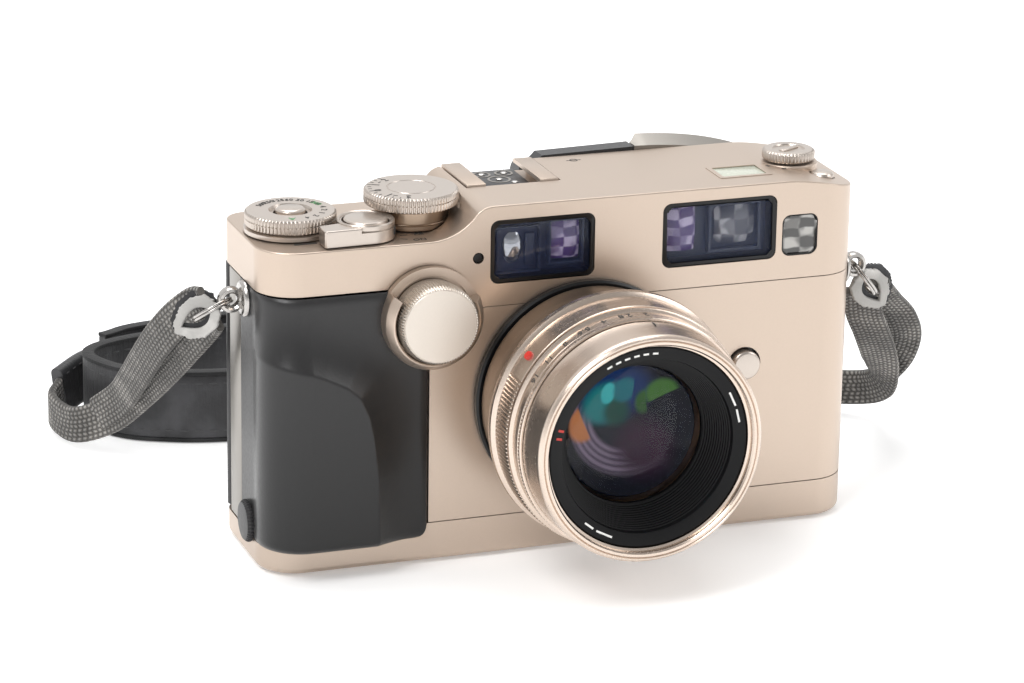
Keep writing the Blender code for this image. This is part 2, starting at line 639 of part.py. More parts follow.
def lug(side, place, outward):
    """A steel pad on the body's side with an eye for the split ring."""
    pad = [(0, 1.3), (3.7, 1.3), (4.0, 1.0), (4.0, GAP), (0, GAP)]
    facing = "right" if outward > 0 else "left"
    made = turned("strap_lug_" + side, pad, place, bright_metal(), facing, 20)
    eye_place = place + Vector((outward * EYE_REACH, 0, 0))
    eye = [(2.7, 0.8), (2.7, -0.8), (1.6, -0.8), (1.6, 0.8)]
    join(made, turned("lug_eye_" + side, eye, eye_place, None, "front", 20, helper=True))
    return eye_place


def ring_and_guard(side, eye, away, webbing_start):
    """The split ring through the lug's eye, and the leather guard that the ring passes through."""
    away = Vector(away).normalized()
    toward_front = Vector((-0.32, -0.89, 0.31))
    normal = (toward_front - away * toward_front.dot(away)).normalized()
    across = normal.cross(away)
    centre = eye + away * RING_RADIUS
    bpy.ops.mesh.primitive_torus_add(
        major_radius=RING_RADIUS * MM, minor_radius=0.6 * MM, major_segments=28, minor_segments=8
    )
    ring = bpy.context.object
    ring.name = "split_ring_" + side
    ring.data.materials.append(bright_metal())
    for group in list(ring.users_collection):
        group.objects.unlink(ring)
    bpy.data.collections["rangefinder_camera"].objects.link(ring)
    ring.matrix_world = Matrix.LocRotScale(centre * MM, across.to_track_quat("Z", "Y"), None)
    smooth(ring)
    middle = centre + away * 3.4
    outline = bend((-5.2, 0.0), (-4.6, 4.6), (0.5, 4.9), 4) + bend((2.0, 4.9), (6.8, 4.6), (6.8, 0.0), 4)
    outline += [(u, -v) for u, v in reversed(outline[1:-1])]
    slit = bend((-3.6, 0.0), (0.0, 2.6), (4.0, 0.0), 6)
    slit += [(u, -v) for u, v in reversed(slit[1:-1])]
    guard = plate("ring_guard_" + side, [outline, slit], 1.8, (0, 0, 0), felt())
    turn = Matrix((away, across, normal)).transposed().to_quaternion()
    guard.matrix_world = Matrix.LocRotScale(middle * MM, turn, None)


def make_strap():
    edge_up = (0.0, 0.0, -1.0)
    eye_left = lug("left", LUG_LEFT, -1)
    eye_right = lug("right", LUG_RIGHT, 1)
    ring_and_guard("left", eye_left, (-0.77, 0.35, -0.53), None)
    ring_and_guard("right", eye_right, (0.60, 0.15, -0.78), None)
    tilt = (0.42, -0.43, -0.80)
    left = [
        ((-76.6, 8.5, 52.6), tilt), ((-78.2, 18.0, 47.0), tilt), ((-81.4, 35.0, 36.0), tilt),
        ((-84.4, 54.0, 22.5), (0.36, -0.36, -0.86)), ((-88.6, 69.0, 10.0), (0.2, -0.2, -0.96)),
        ((-94.0, 79.0, 6.4), edge_up), ((-93.0, 91.5, 6.4), edge_up), ((-87.6, 98.6, 6.8), edge_up),
    ]
    ribbon("strap_webbing_left", left, WEBBING_WIDTH, 2.6, webbing())
    lean = (0.88, -0.43, 0.11)
    right = [
        ((80.6, 4.6, 42.6), lean), ((84.6, 12.5, 35.0), lean), ((90.0, 23.0, 24.5), lean),
        ((96.4, 34.0, 14.4), (0.7, -0.4, -0.5)), ((101.6, 44.5, 7.4), (0.3, -0.2, -0.9)),
        ((94.0, 52.4, 6.4), edge_up), ((82.4, 55.6, 6.6), edge_up),
    ]
    ribbon("strap_webbing_right", right, WEBBING_WIDTH, 2.6, webbing())
    z = BAND_WIDTH / 2 + 0.5
    band = [(-74.0, 108.6), (-58.0, 114.4), (0.6, 118.0), (45.6, 116.6), (60.6, 111.0), (45.6, 105.4), (0.6, 104.6),
            (-52.0, 106.4), (-72.0, 103.6), (-80.6, 96.2), (-76.6, 84.6), (-67.4, 77.9), (-50.0, 73.0),
            (0.6, 68.0), (40.0, 63.4), (60.4, 60.0)]
    ribbon("strap_band", [((x, y, z), edge_up) for x, y in band], BAND_WIDTH, 2.4, leather())
    ends = {"left": ((-86.9, 99.3, 7.2), (-80.6, 104.3, 8.6), (-74.6, 108.2, 9.0)),
            "right": ((81.6, 55.9, 7.0), (71.0, 58.2, 8.6), (61.2, 59.9, 9.0))}
    for side, places in ends.items():
        ribbon("strap_end_" + side, [(place, edge_up) for place in places], 12.5, 3.4, leather(), 4.0)


def main():
    start_scene()
    make_top_cover()
    make_front_cover()
    make_bottom_cover()
    make_hand_grip()
    make_side_plate()
    make_chassis()
    make_rear_door()
    make_body_fittings()
    make_insides()
    make_lens()
    make_windows()
    make_top_controls()
    make_accessory_shoe()
    make_front_controls()
    make_strap()


main()
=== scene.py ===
"""Rangefinder film camera with its lens and neck strap: its finished pieces, their finishes and a stage.

Lengths in the modelling code are millimetres and MM turns them into metres. X runs along the camera's width,
the lens points along -Y and Z is up. The camera stands on z = 0.
"""

import math

import bmesh
import bpy
from mathutils import Matrix, Vector


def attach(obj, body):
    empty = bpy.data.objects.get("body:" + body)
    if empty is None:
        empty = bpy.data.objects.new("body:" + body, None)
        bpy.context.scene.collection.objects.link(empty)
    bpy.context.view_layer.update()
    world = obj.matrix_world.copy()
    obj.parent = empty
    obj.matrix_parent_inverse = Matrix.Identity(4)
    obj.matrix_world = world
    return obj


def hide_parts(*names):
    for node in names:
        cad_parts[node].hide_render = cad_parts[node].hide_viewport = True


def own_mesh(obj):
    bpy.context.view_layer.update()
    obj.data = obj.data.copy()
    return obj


bl_info = {
    "name": "Rangefinder film camera",
    "version": (1, 0, 0),
    "blender": (4, 5, 0),
    "location": "View3D > Sidebar > Camera",
    "description": "Models a rangefinder film camera, its lens and its strap, piece by piece",
    "category": "Add Mesh",
}

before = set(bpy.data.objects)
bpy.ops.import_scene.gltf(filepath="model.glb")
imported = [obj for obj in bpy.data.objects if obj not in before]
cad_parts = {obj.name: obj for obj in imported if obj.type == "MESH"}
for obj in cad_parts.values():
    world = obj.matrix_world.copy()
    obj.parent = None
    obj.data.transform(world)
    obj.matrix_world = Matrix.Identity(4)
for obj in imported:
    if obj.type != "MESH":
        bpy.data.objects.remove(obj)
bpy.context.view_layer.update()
MM = 0.001
GAP = 0.3
FRONT = -16.0
BACK = 18.0
SIDE = 68.7
HIGH_DECK = 80.0
DIAL_DECK = 73.2
GRIP_LOW, GRIP_HIGH, GRIP_RIGHT = 6.6, 63.2, -32.6
SHELL = 1.7
LENS_X = 3.65
LENS_Z = 36.4
FOCUS_DIAL = (-32.4, 57.1)
LENS_RELEASE = (41.4, 38.8)
SHUTTER_DIAL = (-58.0, 1.2)
RELEASE = (-44.1, -8.2)
EXPOSURE_DIAL = (-31.4, -0.5)
DRIVE_DIAL = (57.6, 0.8)
MODE_BUTTON = (62.2, -7.6, 0)
SIGNAL_LAMP = (-21.2, 0, 68.7)
BATTERY_COVER = (-44, 0, 0)
TRIPOD_SOCKET = (LENS_X, 6.5, 0)
FULL_TURN = 2 * math.pi


# Sizes and colours that a user would change


def length(label, words, value):
    """A length property, in metres, given in millimetres."""
    return bpy.props.FloatProperty(name=label, description=words, default=value * MM, unit="LENGTH")


def colour(label, words, value):
    return bpy.props.FloatVectorProperty(
        name=label, description=words, default=value, subtype="COLOR", size=3, min=0, max=1
    )


class CameraSizes(bpy.types.PropertyGroup):
    """Sizes of the camera's repeated details."""

    seam_round: length("Seam rounding", "Rounding of the shell edges along the seams", 0.12)
    edge_round: length("Top rounding", "Rounding where the top cover's deck meets its sides", 2.4)
    knurl_depth: length("Knurl depth", "Depth of the knurling on the dials and rings", 0.28)
    webbing_width: length("Webbing width", "Width of the woven strap", 8.6)
    band_width: length("Band width", "Width of the leather band", 17.0)


class CameraColours(bpy.types.PropertyGroup):
    """Colours of the camera's finishes."""

    titanium: colour("Titanium", "Satin metal of the body's covers", (0.53, 0.435, 0.36))
    lens_metal: colour("Lens metal", "Turned metal of the lens barrel", (0.64, 0.535, 0.455))
    dial_metal: colour("Dial metal", "Metal of the dials and buttons", (0.53, 0.47, 0.42))
    steel: colour("Steel", "Bright steel of rings and lugs", (0.46, 0.44, 0.42))
    rubber: colour("Grip rubber", "Rubber of the hand grip", (0.034, 0.0332, 0.0342))
    black: colour("Black enamel", "Black paint of frames and lens rings", (0.006, 0.006, 0.0065))
    webbing: colour("Webbing", "Woven strap", (0.066, 0.062, 0.057))
    leather: colour("Leather", "Leather band and strap ends", (0.022, 0.022, 0.024))
    guard: colour("Ring guard", "Worn leather guards behind the split rings", (0.60, 0.585, 0.56))
    engraving: colour("Engraving", "Paint in the dial engravings", (0.03, 0.028, 0.026))


def sizes():
    return bpy.context.scene.camera_sizes


def colours():
    return bpy.context.scene.camera_colours


# Shader maths


class Wire:
    """A node socket that can stand in a Python expression."""

    def __init__(self, surface, socket):
        self.surface = surface
        self.socket = socket

    def maths(self, operation, *values):
        return self.surface.node("ShaderNodeMath", {"operation": operation}, dict(enumerate(values)))

    def __add__(self, other):
        return self.maths("ADD", self, other)

    def __sub__(self, other):
        return self.maths("SUBTRACT", self, other)

    def __rsub__(self, other):
        return self.maths("SUBTRACT", other, self)

    def __mul__(self, other):
        return self.maths("MULTIPLY", self, other)

    def __pow__(self, other):
        return self.maths("POWER", self, other)

    __radd__ = __add__
    __rmul__ = __mul__

    def over(self, limit):
        return self.maths("GREATER_THAN", self, limit)

    def wave(self, per_metre):
        """A 0 to 1 wave with this many cycles in a metre."""
        return self.maths("SINE", self * (FULL_TURN * per_metre)) * 0.5 + 0.5

    def ramp(self, low, high):
        """0 up to low, 1 from high, smooth between."""
        inputs = {"Value": self, "From Min": low, "From Max": high}
        return self.surface.node("ShaderNodeMapRange", {"interpolation_type": "SMOOTHSTEP"}, inputs)


class Finish:
    """A material being made from nodes, round one Principled shader."""

    def __init__(self, name, **constants):
        self.material = bpy.data.materials.new(name)
        self.material.use_nodes = True
        self.tree = self.material.node_tree
        self.shader = self.tree.nodes["Principled BSDF"]
        for socket, value in constants.items():
            self.put(self.shader.inputs[socket.replace("_", " ")], value)

    def put(self, socket, value):
        if isinstance(value, Wire):
            self.tree.links.new(value.socket, socket)
        elif socket.type == "RGBA" and len(value) == 3:
            socket.default_value = (*value, 1.0)
        else:
            socket.default_value = value

    def node(self, kind, settings=None, inputs=None, output=0):
        made = self.tree.nodes.new(kind)
        for name, value in (settings or {}).items():
            setattr(made, name, value)
        for socket, value in (inputs or {}).items():
            self.put(made.inputs[socket], value)
        return Wire(self, made.outputs[output])

    def place(self):
        return self.node("ShaderNodeTexCoord", output=3)

    def uv(self):
        return self.node("ShaderNodeUVMap", {"uv_map": "strip"})

    def part(self, vector, axis):
        return self.node("ShaderNodeSeparateXYZ", inputs={"Vector": vector}, output=axis)

    def noise(self, scale, detail=3.0, where=None, stretch=(1, 1, 1), roughness=0.5):
        where = where or self.place()
        if stretch != (1, 1, 1):
            where = self.node("ShaderNodeMapping", inputs={"Vector": where, "Scale": stretch})
        inputs = {"Vector": where, "Scale": scale, "Detail": detail, "Roughness": roughness}
        return self.node("ShaderNodeTexNoise", {"noise_dimensions": "3D"}, inputs)

    def cells(self, scale):
        return self.node("ShaderNodeTexVoronoi", inputs={"Vector": self.place(), "Scale": scale})

    def mix(self, share, first, second):
        """A colour between two, by share."""
        made = self.tree.nodes.new("ShaderNodeMix")
        made.data_type = "RGBA"
        for socket, value in ((made.inputs[0], share), (made.inputs[6], first), (made.inputs[7], second)):
            self.put(socket, value)
        return Wire(self, made.outputs[2])

    def tones(self, share, dark, light, base):
        """The base colour, shaded between two strengths by share."""
        first = tuple(channel * dark for channel in base)
        second = tuple(min(1.0, channel * light) for channel in base)
        return self.mix(share, first, second)

    def relief(self, height, depth, strength=1.0):
        """Bump of this depth in millimetres."""
        inputs = {"Height": height, "Distance": depth * MM, "Strength": strength}
        self.put(self.shader.inputs["Normal"], self.node("ShaderNodeBump", inputs=inputs))

    def set(self, **inputs):
        for socket, value in inputs.items():
            self.put(self.shader.inputs[socket.replace("_", " ")], value)
        return self.material


FINISHES = {}


def finish(name):
    """The named finish, made at its first use."""
    if name not in FINISHES:
        FINISHES[name] = FINISH_MAKERS[name](name)
    return FINISHES[name]


def satin_metal(name, base, rough=0.34, grain=0.02):
    """Fine bead-blasted metal with a plated sheen."""
    made = Finish(name, Metallic=0.92, Coat_Roughness=0.3)
    blast = made.noise(2600, 2.0)
    cloud = made.noise(38, 3.0)
    made.relief(blast, grain, 0.5)
    return made.set(
        Base_Color=made.tones(cloud * 0.5 + blast * 0.5, 0.94, 1.06, base),
        Roughness=cloud * 0.06 + blast * 0.08 + (rough - 0.07), Coat_Weight=0.08,
    )


def turned_metal(name, base, rough=0.26):
    """Lathe-turned metal with fine rings across the lens's axis."""
    made = Finish(name, Metallic=0.96)
    rings = made.noise(900, 2.0, stretch=(0.04, 1.0, 0.04))
    blast = made.noise(1500, 2.0)
    made.relief(rings * 0.7 + blast * 0.3, 0.004, 0.4)
    return made.set(
        Base_Color=made.tones(blast * 0.4 + rings * 0.6, 0.95, 1.05, base),
        Roughness=blast * 0.05 + rings * 0.05 + (rough - 0.05),
    )


def moulded(name, base, rough, depth=0.03, scale=1500, ior=1.45, sheen=0.0):
    """Rubber or plastic with a fine moulded texture."""
    made = Finish(name, IOR=ior, Sheen_Weight=sheen, Sheen_Roughness=0.4)
    pebble = made.cells(scale)
    cloud = made.noise(55, 4.0)
    made.relief(pebble * 0.7 + made.noise(2400, 2.0) * 0.3, depth, 0.6)
    return made.set(
        Base_Color=made.tones(cloud, 0.82, 1.25, base),
        Roughness=cloud * 0.1 + pebble * 0.08 + (rough - 0.09),
    )


def rubber_with_painted_shade(name, base):
    """Grip rubber with painted shade: its colour is painted paler toward its top, where the light falls, and
    dark at its foot.
    """
    made = Finish(name, IOR=1.43, Sheen_Weight=0.05, Sheen_Roughness=0.4)
    pebble = made.cells(1350)
    cloud = made.noise(55, 4.0)
    made.relief(pebble * 0.7 + made.noise(2400, 2.0) * 0.3, 0.02, 0.6)
    height = made.part(made.place(), 2)
    # Painted shade: the base colour runs from dark at the grip's foot to paler at its top, as the light falls
    # on it.
    shade = height.ramp(0.0, 0.062) * 0.85 + cloud * 0.15
    return made.set(
        Base_Color=made.mix(shade, tuple(c * 0.15 for c in base), tuple(c * 0.7 for c in base)),
        Roughness=cloud * 0.1 + pebble * 0.08 + 0.24,
    )


THREADS_PER_METRE = 980.0
PICKS_PER_METRE = 620.0


def woven(name, base):
    """Close-woven webbing: rows of plump threads, each half a thread off the next, with painted highlights on
    the thread crowns and painted shade in the gaps between them, paler in random worn patches.
    """
    made = Finish(name, Sheen_Weight=0.2, Sheen_Roughness=0.5, Specular_IOR_Level=0.2)
    strip = made.uv()
    across, along = made.part(strip, 0), made.part(strip, 1)
    column = across.wave(THREADS_PER_METRE)
    even = (across + 0.25 / THREADS_PER_METRE).wave(THREADS_PER_METRE / 2).over(0.5)
    first = (along + across * 0.35).wave(PICKS_PER_METRE)
    second = (along - across * 0.35).wave(-PICKS_PER_METRE)
    picks = first * even + (1 - second) * (1 - even)
    weave = column**0.8 * picks
    fuzz = made.noise(3000, 4.0)
    wear = made.noise(110, 4.0).ramp(0.42, 0.7)
    made.relief(weave * 0.85 + fuzz * 0.3, 0.7, 1.0)
    # Painted highlight and shade: the thread crowns are painted light and the gaps between threads dark.
    shade = weave * 0.7 + fuzz * 0.3
    return made.set(
        Base_Color=made.mix(shade * (wear * 0.5 + 0.5), tuple(c * 0.08 for c in base),
                            tuple(c * 8.5 for c in base)), Roughness=0.78 + fuzz * 0.18,
    )


def grained(name, base, rough=0.45, scale=650, worn=1.8):
    """Leather: creases across the strap, fine grain, and paler patches that are partly wear and partly a
    painted sheen.
    """
    made = Finish(name, Sheen_Weight=0.08, IOR=1.46)
    grain = made.cells(scale * 2.2)
    crease = made.noise(1.0, 5.0, where=made.uv(), stretch=(140, 1500, 1), roughness=0.65)
    cloud = made.noise(260, 5.0, roughness=0.65)
    wear = made.noise(90, 5.0).ramp(0.45, 0.72)
    made.relief(grain * 0.25 + crease * 0.9 + cloud * 0.4, 0.2, 0.8)
    # The paler patches set by worn are partly wear and partly a painted sheen.
    shade = wear * 0.6 + crease * 0.25 + cloud * 0.15
    return made.set(
        Base_Color=made.mix(shade, tuple(c * 0.5 for c in base), tuple(c * worn for c in base)),
        Roughness=rough + cloud * 0.15 - wear * 0.1,
    )


def enamel(name, base, rough=0.32, ior=1.5):
    """Paint with a faint speckle."""
    made = Finish(name, IOR=ior)
    speckle = made.noise(1900, 2.0)
    made.relief(speckle, 0.012, 0.5)
    return made.set(Base_Color=made.tones(speckle, 0.8, 1.2, base), Roughness=speckle * 0.1 + (rough - 0.05))


def clear_glass(name, tint, alpha, rough=0.03):
    """Coated glass that shows what is behind it."""
    made = Finish(name, IOR=1.5, Specular_IOR_Level=0.5, Coat_Weight=0.4, Coat_Roughness=0.02, Alpha=alpha)
    dust = made.noise(60, 2.0)
    return made.set(Base_Color=made.tones(dust, 0.9, 1.1, tint), Roughness=dust * 0.02 + rough)


FINISH_MAKERS = {
    "titanium": lambda name: satin_metal(name, colours().titanium, 0.36),
    "dial metal": lambda name: satin_metal(name, colours().dial_metal, 0.3, 0.012),
    "cap metal": lambda name: satin_metal(name, (0.63, 0.575, 0.515), 0.34, 0.008),
    "lens metal": lambda name: turned_metal(name, colours().lens_metal),
    "bronze base": lambda name: satin_metal(name, (0.36, 0.27, 0.20), 0.3, 0.006),
    "steel": lambda name: satin_metal(name, colours().steel, 0.2, 0.006),
    "grip rubber": lambda name: moulded(name, colours().rubber, 0.38, 0.02, 1350, 1.27, 0.12),
    "rubber with painted shade": lambda name: rubber_with_painted_shade(name, colours().rubber),
    "black enamel": lambda name: enamel(name, colours().black, 0.3, ior=1.38),
    "lens black": lambda name: enamel(name, (0.005, 0.005, 0.0055), 0.42, ior=1.27),
    "dark plastic": lambda name: moulded(name, (0.022, 0.022, 0.024), 0.33, 0.015),
    "webbing": lambda name: woven(name, colours().webbing),
    # worn=2.4 makes the band's pale patches: partly wear, partly a painted sheen.
    "leather": lambda name: grained(name, colours().leather, 0.42, worn=2.4),
    "lining": lambda name: grained(name, (0.012, 0.012, 0.013), 0.7, 900, 1.6),
    "guard": lambda name: grained(name, colours().guard, 0.8, 900, 1.35),
    "thread": lambda name: enamel(name, (0.05, 0.05, 0.052), 0.7),
    "engraving": lambda name: enamel(name, colours().engraving, 0.5),
    "red mark": lambda name: enamel(name, (0.55, 0.03, 0.02), 0.4),
    "green mark": lambda name: enamel(name, (0.03, 0.25, 0.06), 0.4),
    "white mark": lambda name: enamel(name, (0.8, 0.8, 0.78), 0.4),
    "cast alloy": lambda name: satin_metal(name, (0.25, 0.25, 0.26), 0.5, 0.08),
    "front glass": lambda name: clear_glass(name, (0.02, 0.03, 0.06), 0.07, 0.02),
    "window glass": lambda name: clear_glass(name, (0.02, 0.03, 0.08), 0.16),
    "window blue": lambda name: enamel(name, (0.016, 0.026, 0.062), 0.35),
    "window frame": lambda name: enamel(name, (0.026, 0.036, 0.068), 0.25),
    "mirror": lambda name: satin_metal(name, (0.62, 0.64, 0.68), 0.1, 0.002),
    "violet coating": lambda name: checked_glass(name, (0.09, 0.045, 0.21), (0.66, 0.58, 0.84), 165, 235),
    "finder glass": lambda name: checked_glass(name, (0.09, 0.095, 0.12), (0.55, 0.56, 0.60), 150, 130),
    "meter cell": lambda name: checked_glass(name, (0.045, 0.044, 0.042), (0.42, 0.41, 0.39), 128, 214, 0.15),
    "meter glass": lambda name: enamel(name, (0.045, 0.048, 0.056), 0.12),
    # A darker copy of the titanium: on the finder hump the darker colour is painted shade.
    "hump metal": lambda name: satin_metal(name, (0.30, 0.28, 0.255), 0.38),
    "display": lambda name: enamel(name, (0.48, 0.50, 0.42), 0.22),
    "door finish": lambda name: moulded(name, (0.030, 0.029, 0.030), 0.48, 0.03, 1100),
    # The inner element's colour holds painted reflections.
    "inner glass": lambda name: glass_with_painted_reflections(name, (0.004, 0.004, 0.008), LENS_REFLECTION_PATCHES, LENS_REFLECTION_ARCS),
}


# Modelling


def facing(direction, place=(0, 0, 0)):
    """Turns a piece made with its axis along +Z to face a direction, and puts it in place."""
    turns = {
        "up": Matrix.Identity(3),
        "front": Matrix(((1, 0, 0), (0, 0, -1), (0, 1, 0))),
        "right": Matrix(((0, 0, 1), (1, 0, 0), (0, 1, 0))),
        "left": Matrix(((0, 0, -1), (-1, 0, 0), (0, 1, 0))),
    }
    return Matrix.Translation(Vector(place)) @ turns[direction].to_4x4()


def turned(profile, place=(0, 0, 0), direction="up", segments=96, teeth=0):
    """A turned shape. Profile rows are (radius, height) from the top down the outer side;
    a third value is the depth of the knurling cut there, in as many teeth as given."""
    segments = teeth * 4 if teeth else segments
    shape = bmesh.new()
    rows = [shape.verts.new((row[0], 0, row[1])) for row in profile]
    edges = [shape.edges.new(pair) for pair in zip(rows, rows[1:])]
    if min(row[0] for row in profile) > 0:
        edges.append(shape.edges.new((rows[-1], rows[0])))
    bmesh.ops.spin(
        shape, geom=rows + edges, cent=(0, 0, 0), axis=(0, 0, 1), angle=FULL_TURN, steps=segments,
        use_merge=True
    )
    bmesh.ops.remove_doubles(shape, verts=shape.verts, dist=1e-4)
    depths = {(round(row[0], 3), round(row[1], 3)): row[2] for row in profile if len(row) > 2}
    for vert in shape.verts if depths else ():
        depth = depths.get((round(math.hypot(vert.co.x, vert.co.y), 3), round(vert.co.z, 3)))
        step = round(math.atan2(vert.co.y, vert.co.x) / FULL_TURN * segments) % 4
        if depth and step > 1:
            radius = math.hypot(vert.co.x, vert.co.y)
            vert.co.x *= 1 - depth / radius
            vert.co.y *= 1 - depth / radius
    bmesh.ops.recalc_face_normals(shape, faces=shape.faces)
    shape.transform(facing(direction, place))
    return shape


def block(low, high, rounding=0.0, segments=3):
    low, high = Vector(low), Vector(high)
    shape = bmesh.new()
    bmesh.ops.create_cube(shape, size=1.0)
    bmesh.ops.scale(shape, vec=high - low, verts=shape.verts)
    bmesh.ops.translate(shape, vec=(low + high) / 2, verts=shape.verts)
    if rounding:
        soften(shape, lambda edge: True, rounding, segments)
    return shape


def prism(outline, low, high, direction="up", place=(0, 0, 0), hole=None):
    """An outline, with a hole in it if wanted, raised from low to high along the direction."""
    shape = bmesh.new()
    loops = []
    for points in (outline, hole) if hole else (outline,):
        verts = [shape.verts.new((u, v, low)) for u, v in points]
        loops.append([shape.edges.new((a, b)) for a, b in zip(verts, verts[1:] + verts[:1])])
    if hole:
        bmesh.ops.triangle_fill(shape, edges=sum(loops, []), use_beauty=True)
        bmesh.ops.dissolve_limit(shape, angle_limit=0.01, verts=shape.verts, edges=shape.edges)
    else:
        shape.faces.new(shape.verts[:])
    raised = bmesh.ops.extrude_face_region(shape, geom=shape.faces[:], use_keep_orig=True)
    tops = [part for part in raised["geom"] if isinstance(part, bmesh.types.BMVert)]
    bmesh.ops.translate(shape, vec=(0, 0, high - low), verts=tops)
    bmesh.ops.recalc_face_normals(shape, faces=shape.faces)
    shape.transform(facing(direction, place))
    return shape


def soften(shape, wanted, width, segments=3, least=30):
    """Rounds the edges that the test wants, where two faces meet at more than the least angle."""
    edges = [e for e in shape.edges if len(e.link_faces) == 2
             and e.calc_face_angle(0) > math.radians(least) and wanted(e)]
    if edges:
        bmesh.ops.bevel(
            shape, geom=edges, offset=width, offset_type="OFFSET", affect="EDGES", segments=segments,
            profile=0.5, material=-1, clamp_overlap=True,
        )
    return shape


def scratch(shape):
    mesh = bpy.data.meshes.new("scratch")
    shape.to_mesh(mesh)
    shape.free()
    made = bpy.data.objects.new("scratch", mesh)
    bpy.context.collection.objects.link(made)
    return made


def carve(shape, *others, operation="DIFFERENCE"):
    """The shape with others taken out of it, joined to it, or kept in common."""
    base = scratch(shape)
    helpers = [scratch(other) for other in others]
    for helper in helpers:
        step = base.modifiers.new("carve", "BOOLEAN")
        step.operation = operation
        step.solver = "EXACT"
        step.object = helper
    graph = bpy.context.evaluated_depsgraph_get()
    result = bmesh.new()
    result.from_object(base, graph)
    for used in [base] + helpers:
        mesh = used.data
        bpy.data.objects.remove(used)
        bpy.data.meshes.remove(mesh)
    bmesh.ops.remove_doubles(result, verts=result.verts, dist=2e-4)
    bmesh.ops.dissolve_degenerate(result, edges=result.edges, dist=1e-4)
    return result


def gather(*shapes):
    """Several shapes as one."""
    whole = bmesh.new()
    for shape in shapes:
        mesh = bpy.data.meshes.new("part")
        shape.to_mesh(mesh)
        shape.free()
        whole.from_mesh(mesh)
        bpy.data.meshes.remove(mesh)
    return whole


def piece(name, shape, material, body="camera", replaces=(), sharp=32, level=False):
    """Turns a shape in millimetres into a finished piece that rides on its body."""
    shape.transform(Matrix.Scale(MM, 4))
    mesh = bpy.data.meshes.new(name)
    shape.to_mesh(mesh)
    shape.free()
    mesh.materials.append(finish(material))
    made = bpy.data.objects.new(name, mesh)
    bpy.context.collection.objects.link(made)
    mesh.shade_smooth()
    mesh.set_sharp_from_angle(angle=math.radians(sharp))
    if level:
        made.modifiers.new("even shading", "WEIGHTED_NORMAL").keep_sharp = True
    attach(made, body)
    if replaces:
        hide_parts(*replaces)
    return made


def arc(centre, radius, start, end, count=12):
    """Points along a round stretch, angles in degrees."""
    angles = [math.radians(start + (end - start) * i / count) for i in range(count + 1)]
    return [(centre[0] + radius * math.cos(a), centre[1] + radius * math.sin(a)) for a in angles]


def bend(first, pull, last, count=8):
    """Points along a curve from first to last that is drawn towards the pull point."""
    points = []
    for i in range(count + 1):
        t = i / count
        weights = ((1 - t) ** 2, 2 * t * (1 - t), t**2)
        points.append(tuple(sum(w * p[k] for w, p in zip(weights, (first, pull, last))) for k in (0, 1)))
    return points


def rounded(low_u, high_u, low_v, high_v, radius, count=8):
    """A rounded rectangle."""
    corners = ((high_u, high_v, 0), (low_u, high_v, 90), (low_u, low_v, 180), (high_u, low_v, 270))
    points = []
    for u, v, start in corners:
        centre = (u - math.copysign(radius, u - (low_u + high_u) / 2),
                  v - math.copysign(radius, v - (low_v + high_v) / 2))
        points += arc(centre, radius, start, start + 90, count)
    return points


def lettering(text, size, matrix, depth=0.06):
    """Numbers or marks as a thin raised shape, centred at the matrix."""
    curve = bpy.data.curves.new("numbers", "FONT")
    curve.body = text
    curve.size = size
    curve.extrude = depth / 2
    curve.resolution_u = 3
    curve.align_x = "CENTER"
    curve.align_y = "CENTER"
    made = bpy.data.objects.new("numbers", curve)
    bpy.context.collection.objects.link(made)
    graph = bpy.context.evaluated_depsgraph_get()
    mesh = bpy.data.meshes.new_from_object(made.evaluated_get(graph))
    bpy.data.objects.remove(made)
    shape = bmesh.new()
    shape.from_mesh(mesh)
    bpy.data.meshes.remove(mesh)
    bmesh.ops.remove_doubles(shape, verts=shape.verts, dist=1e-4)
    shape.transform(matrix)
    return shape


def on_ring(centre, radius, degrees, height):
    """A place on a dial's face for a mark whose top points outwards."""
    place = Matrix.Translation(Vector((*centre, height))) @ Matrix.Rotation(math.radians(degrees), 4, "Z")
    return place @ Matrix.Translation((radius, 0, 0)) @ Matrix.Rotation(math.radians(-90), 4, "Z")


def dash(wide, tall, matrix, depth=0.05):
    shape = block((-wide / 2, -tall / 2, -depth / 2), (wide / 2, tall / 2, depth / 2))
    shape.transform(matrix)
    return shape


# Stage and camera


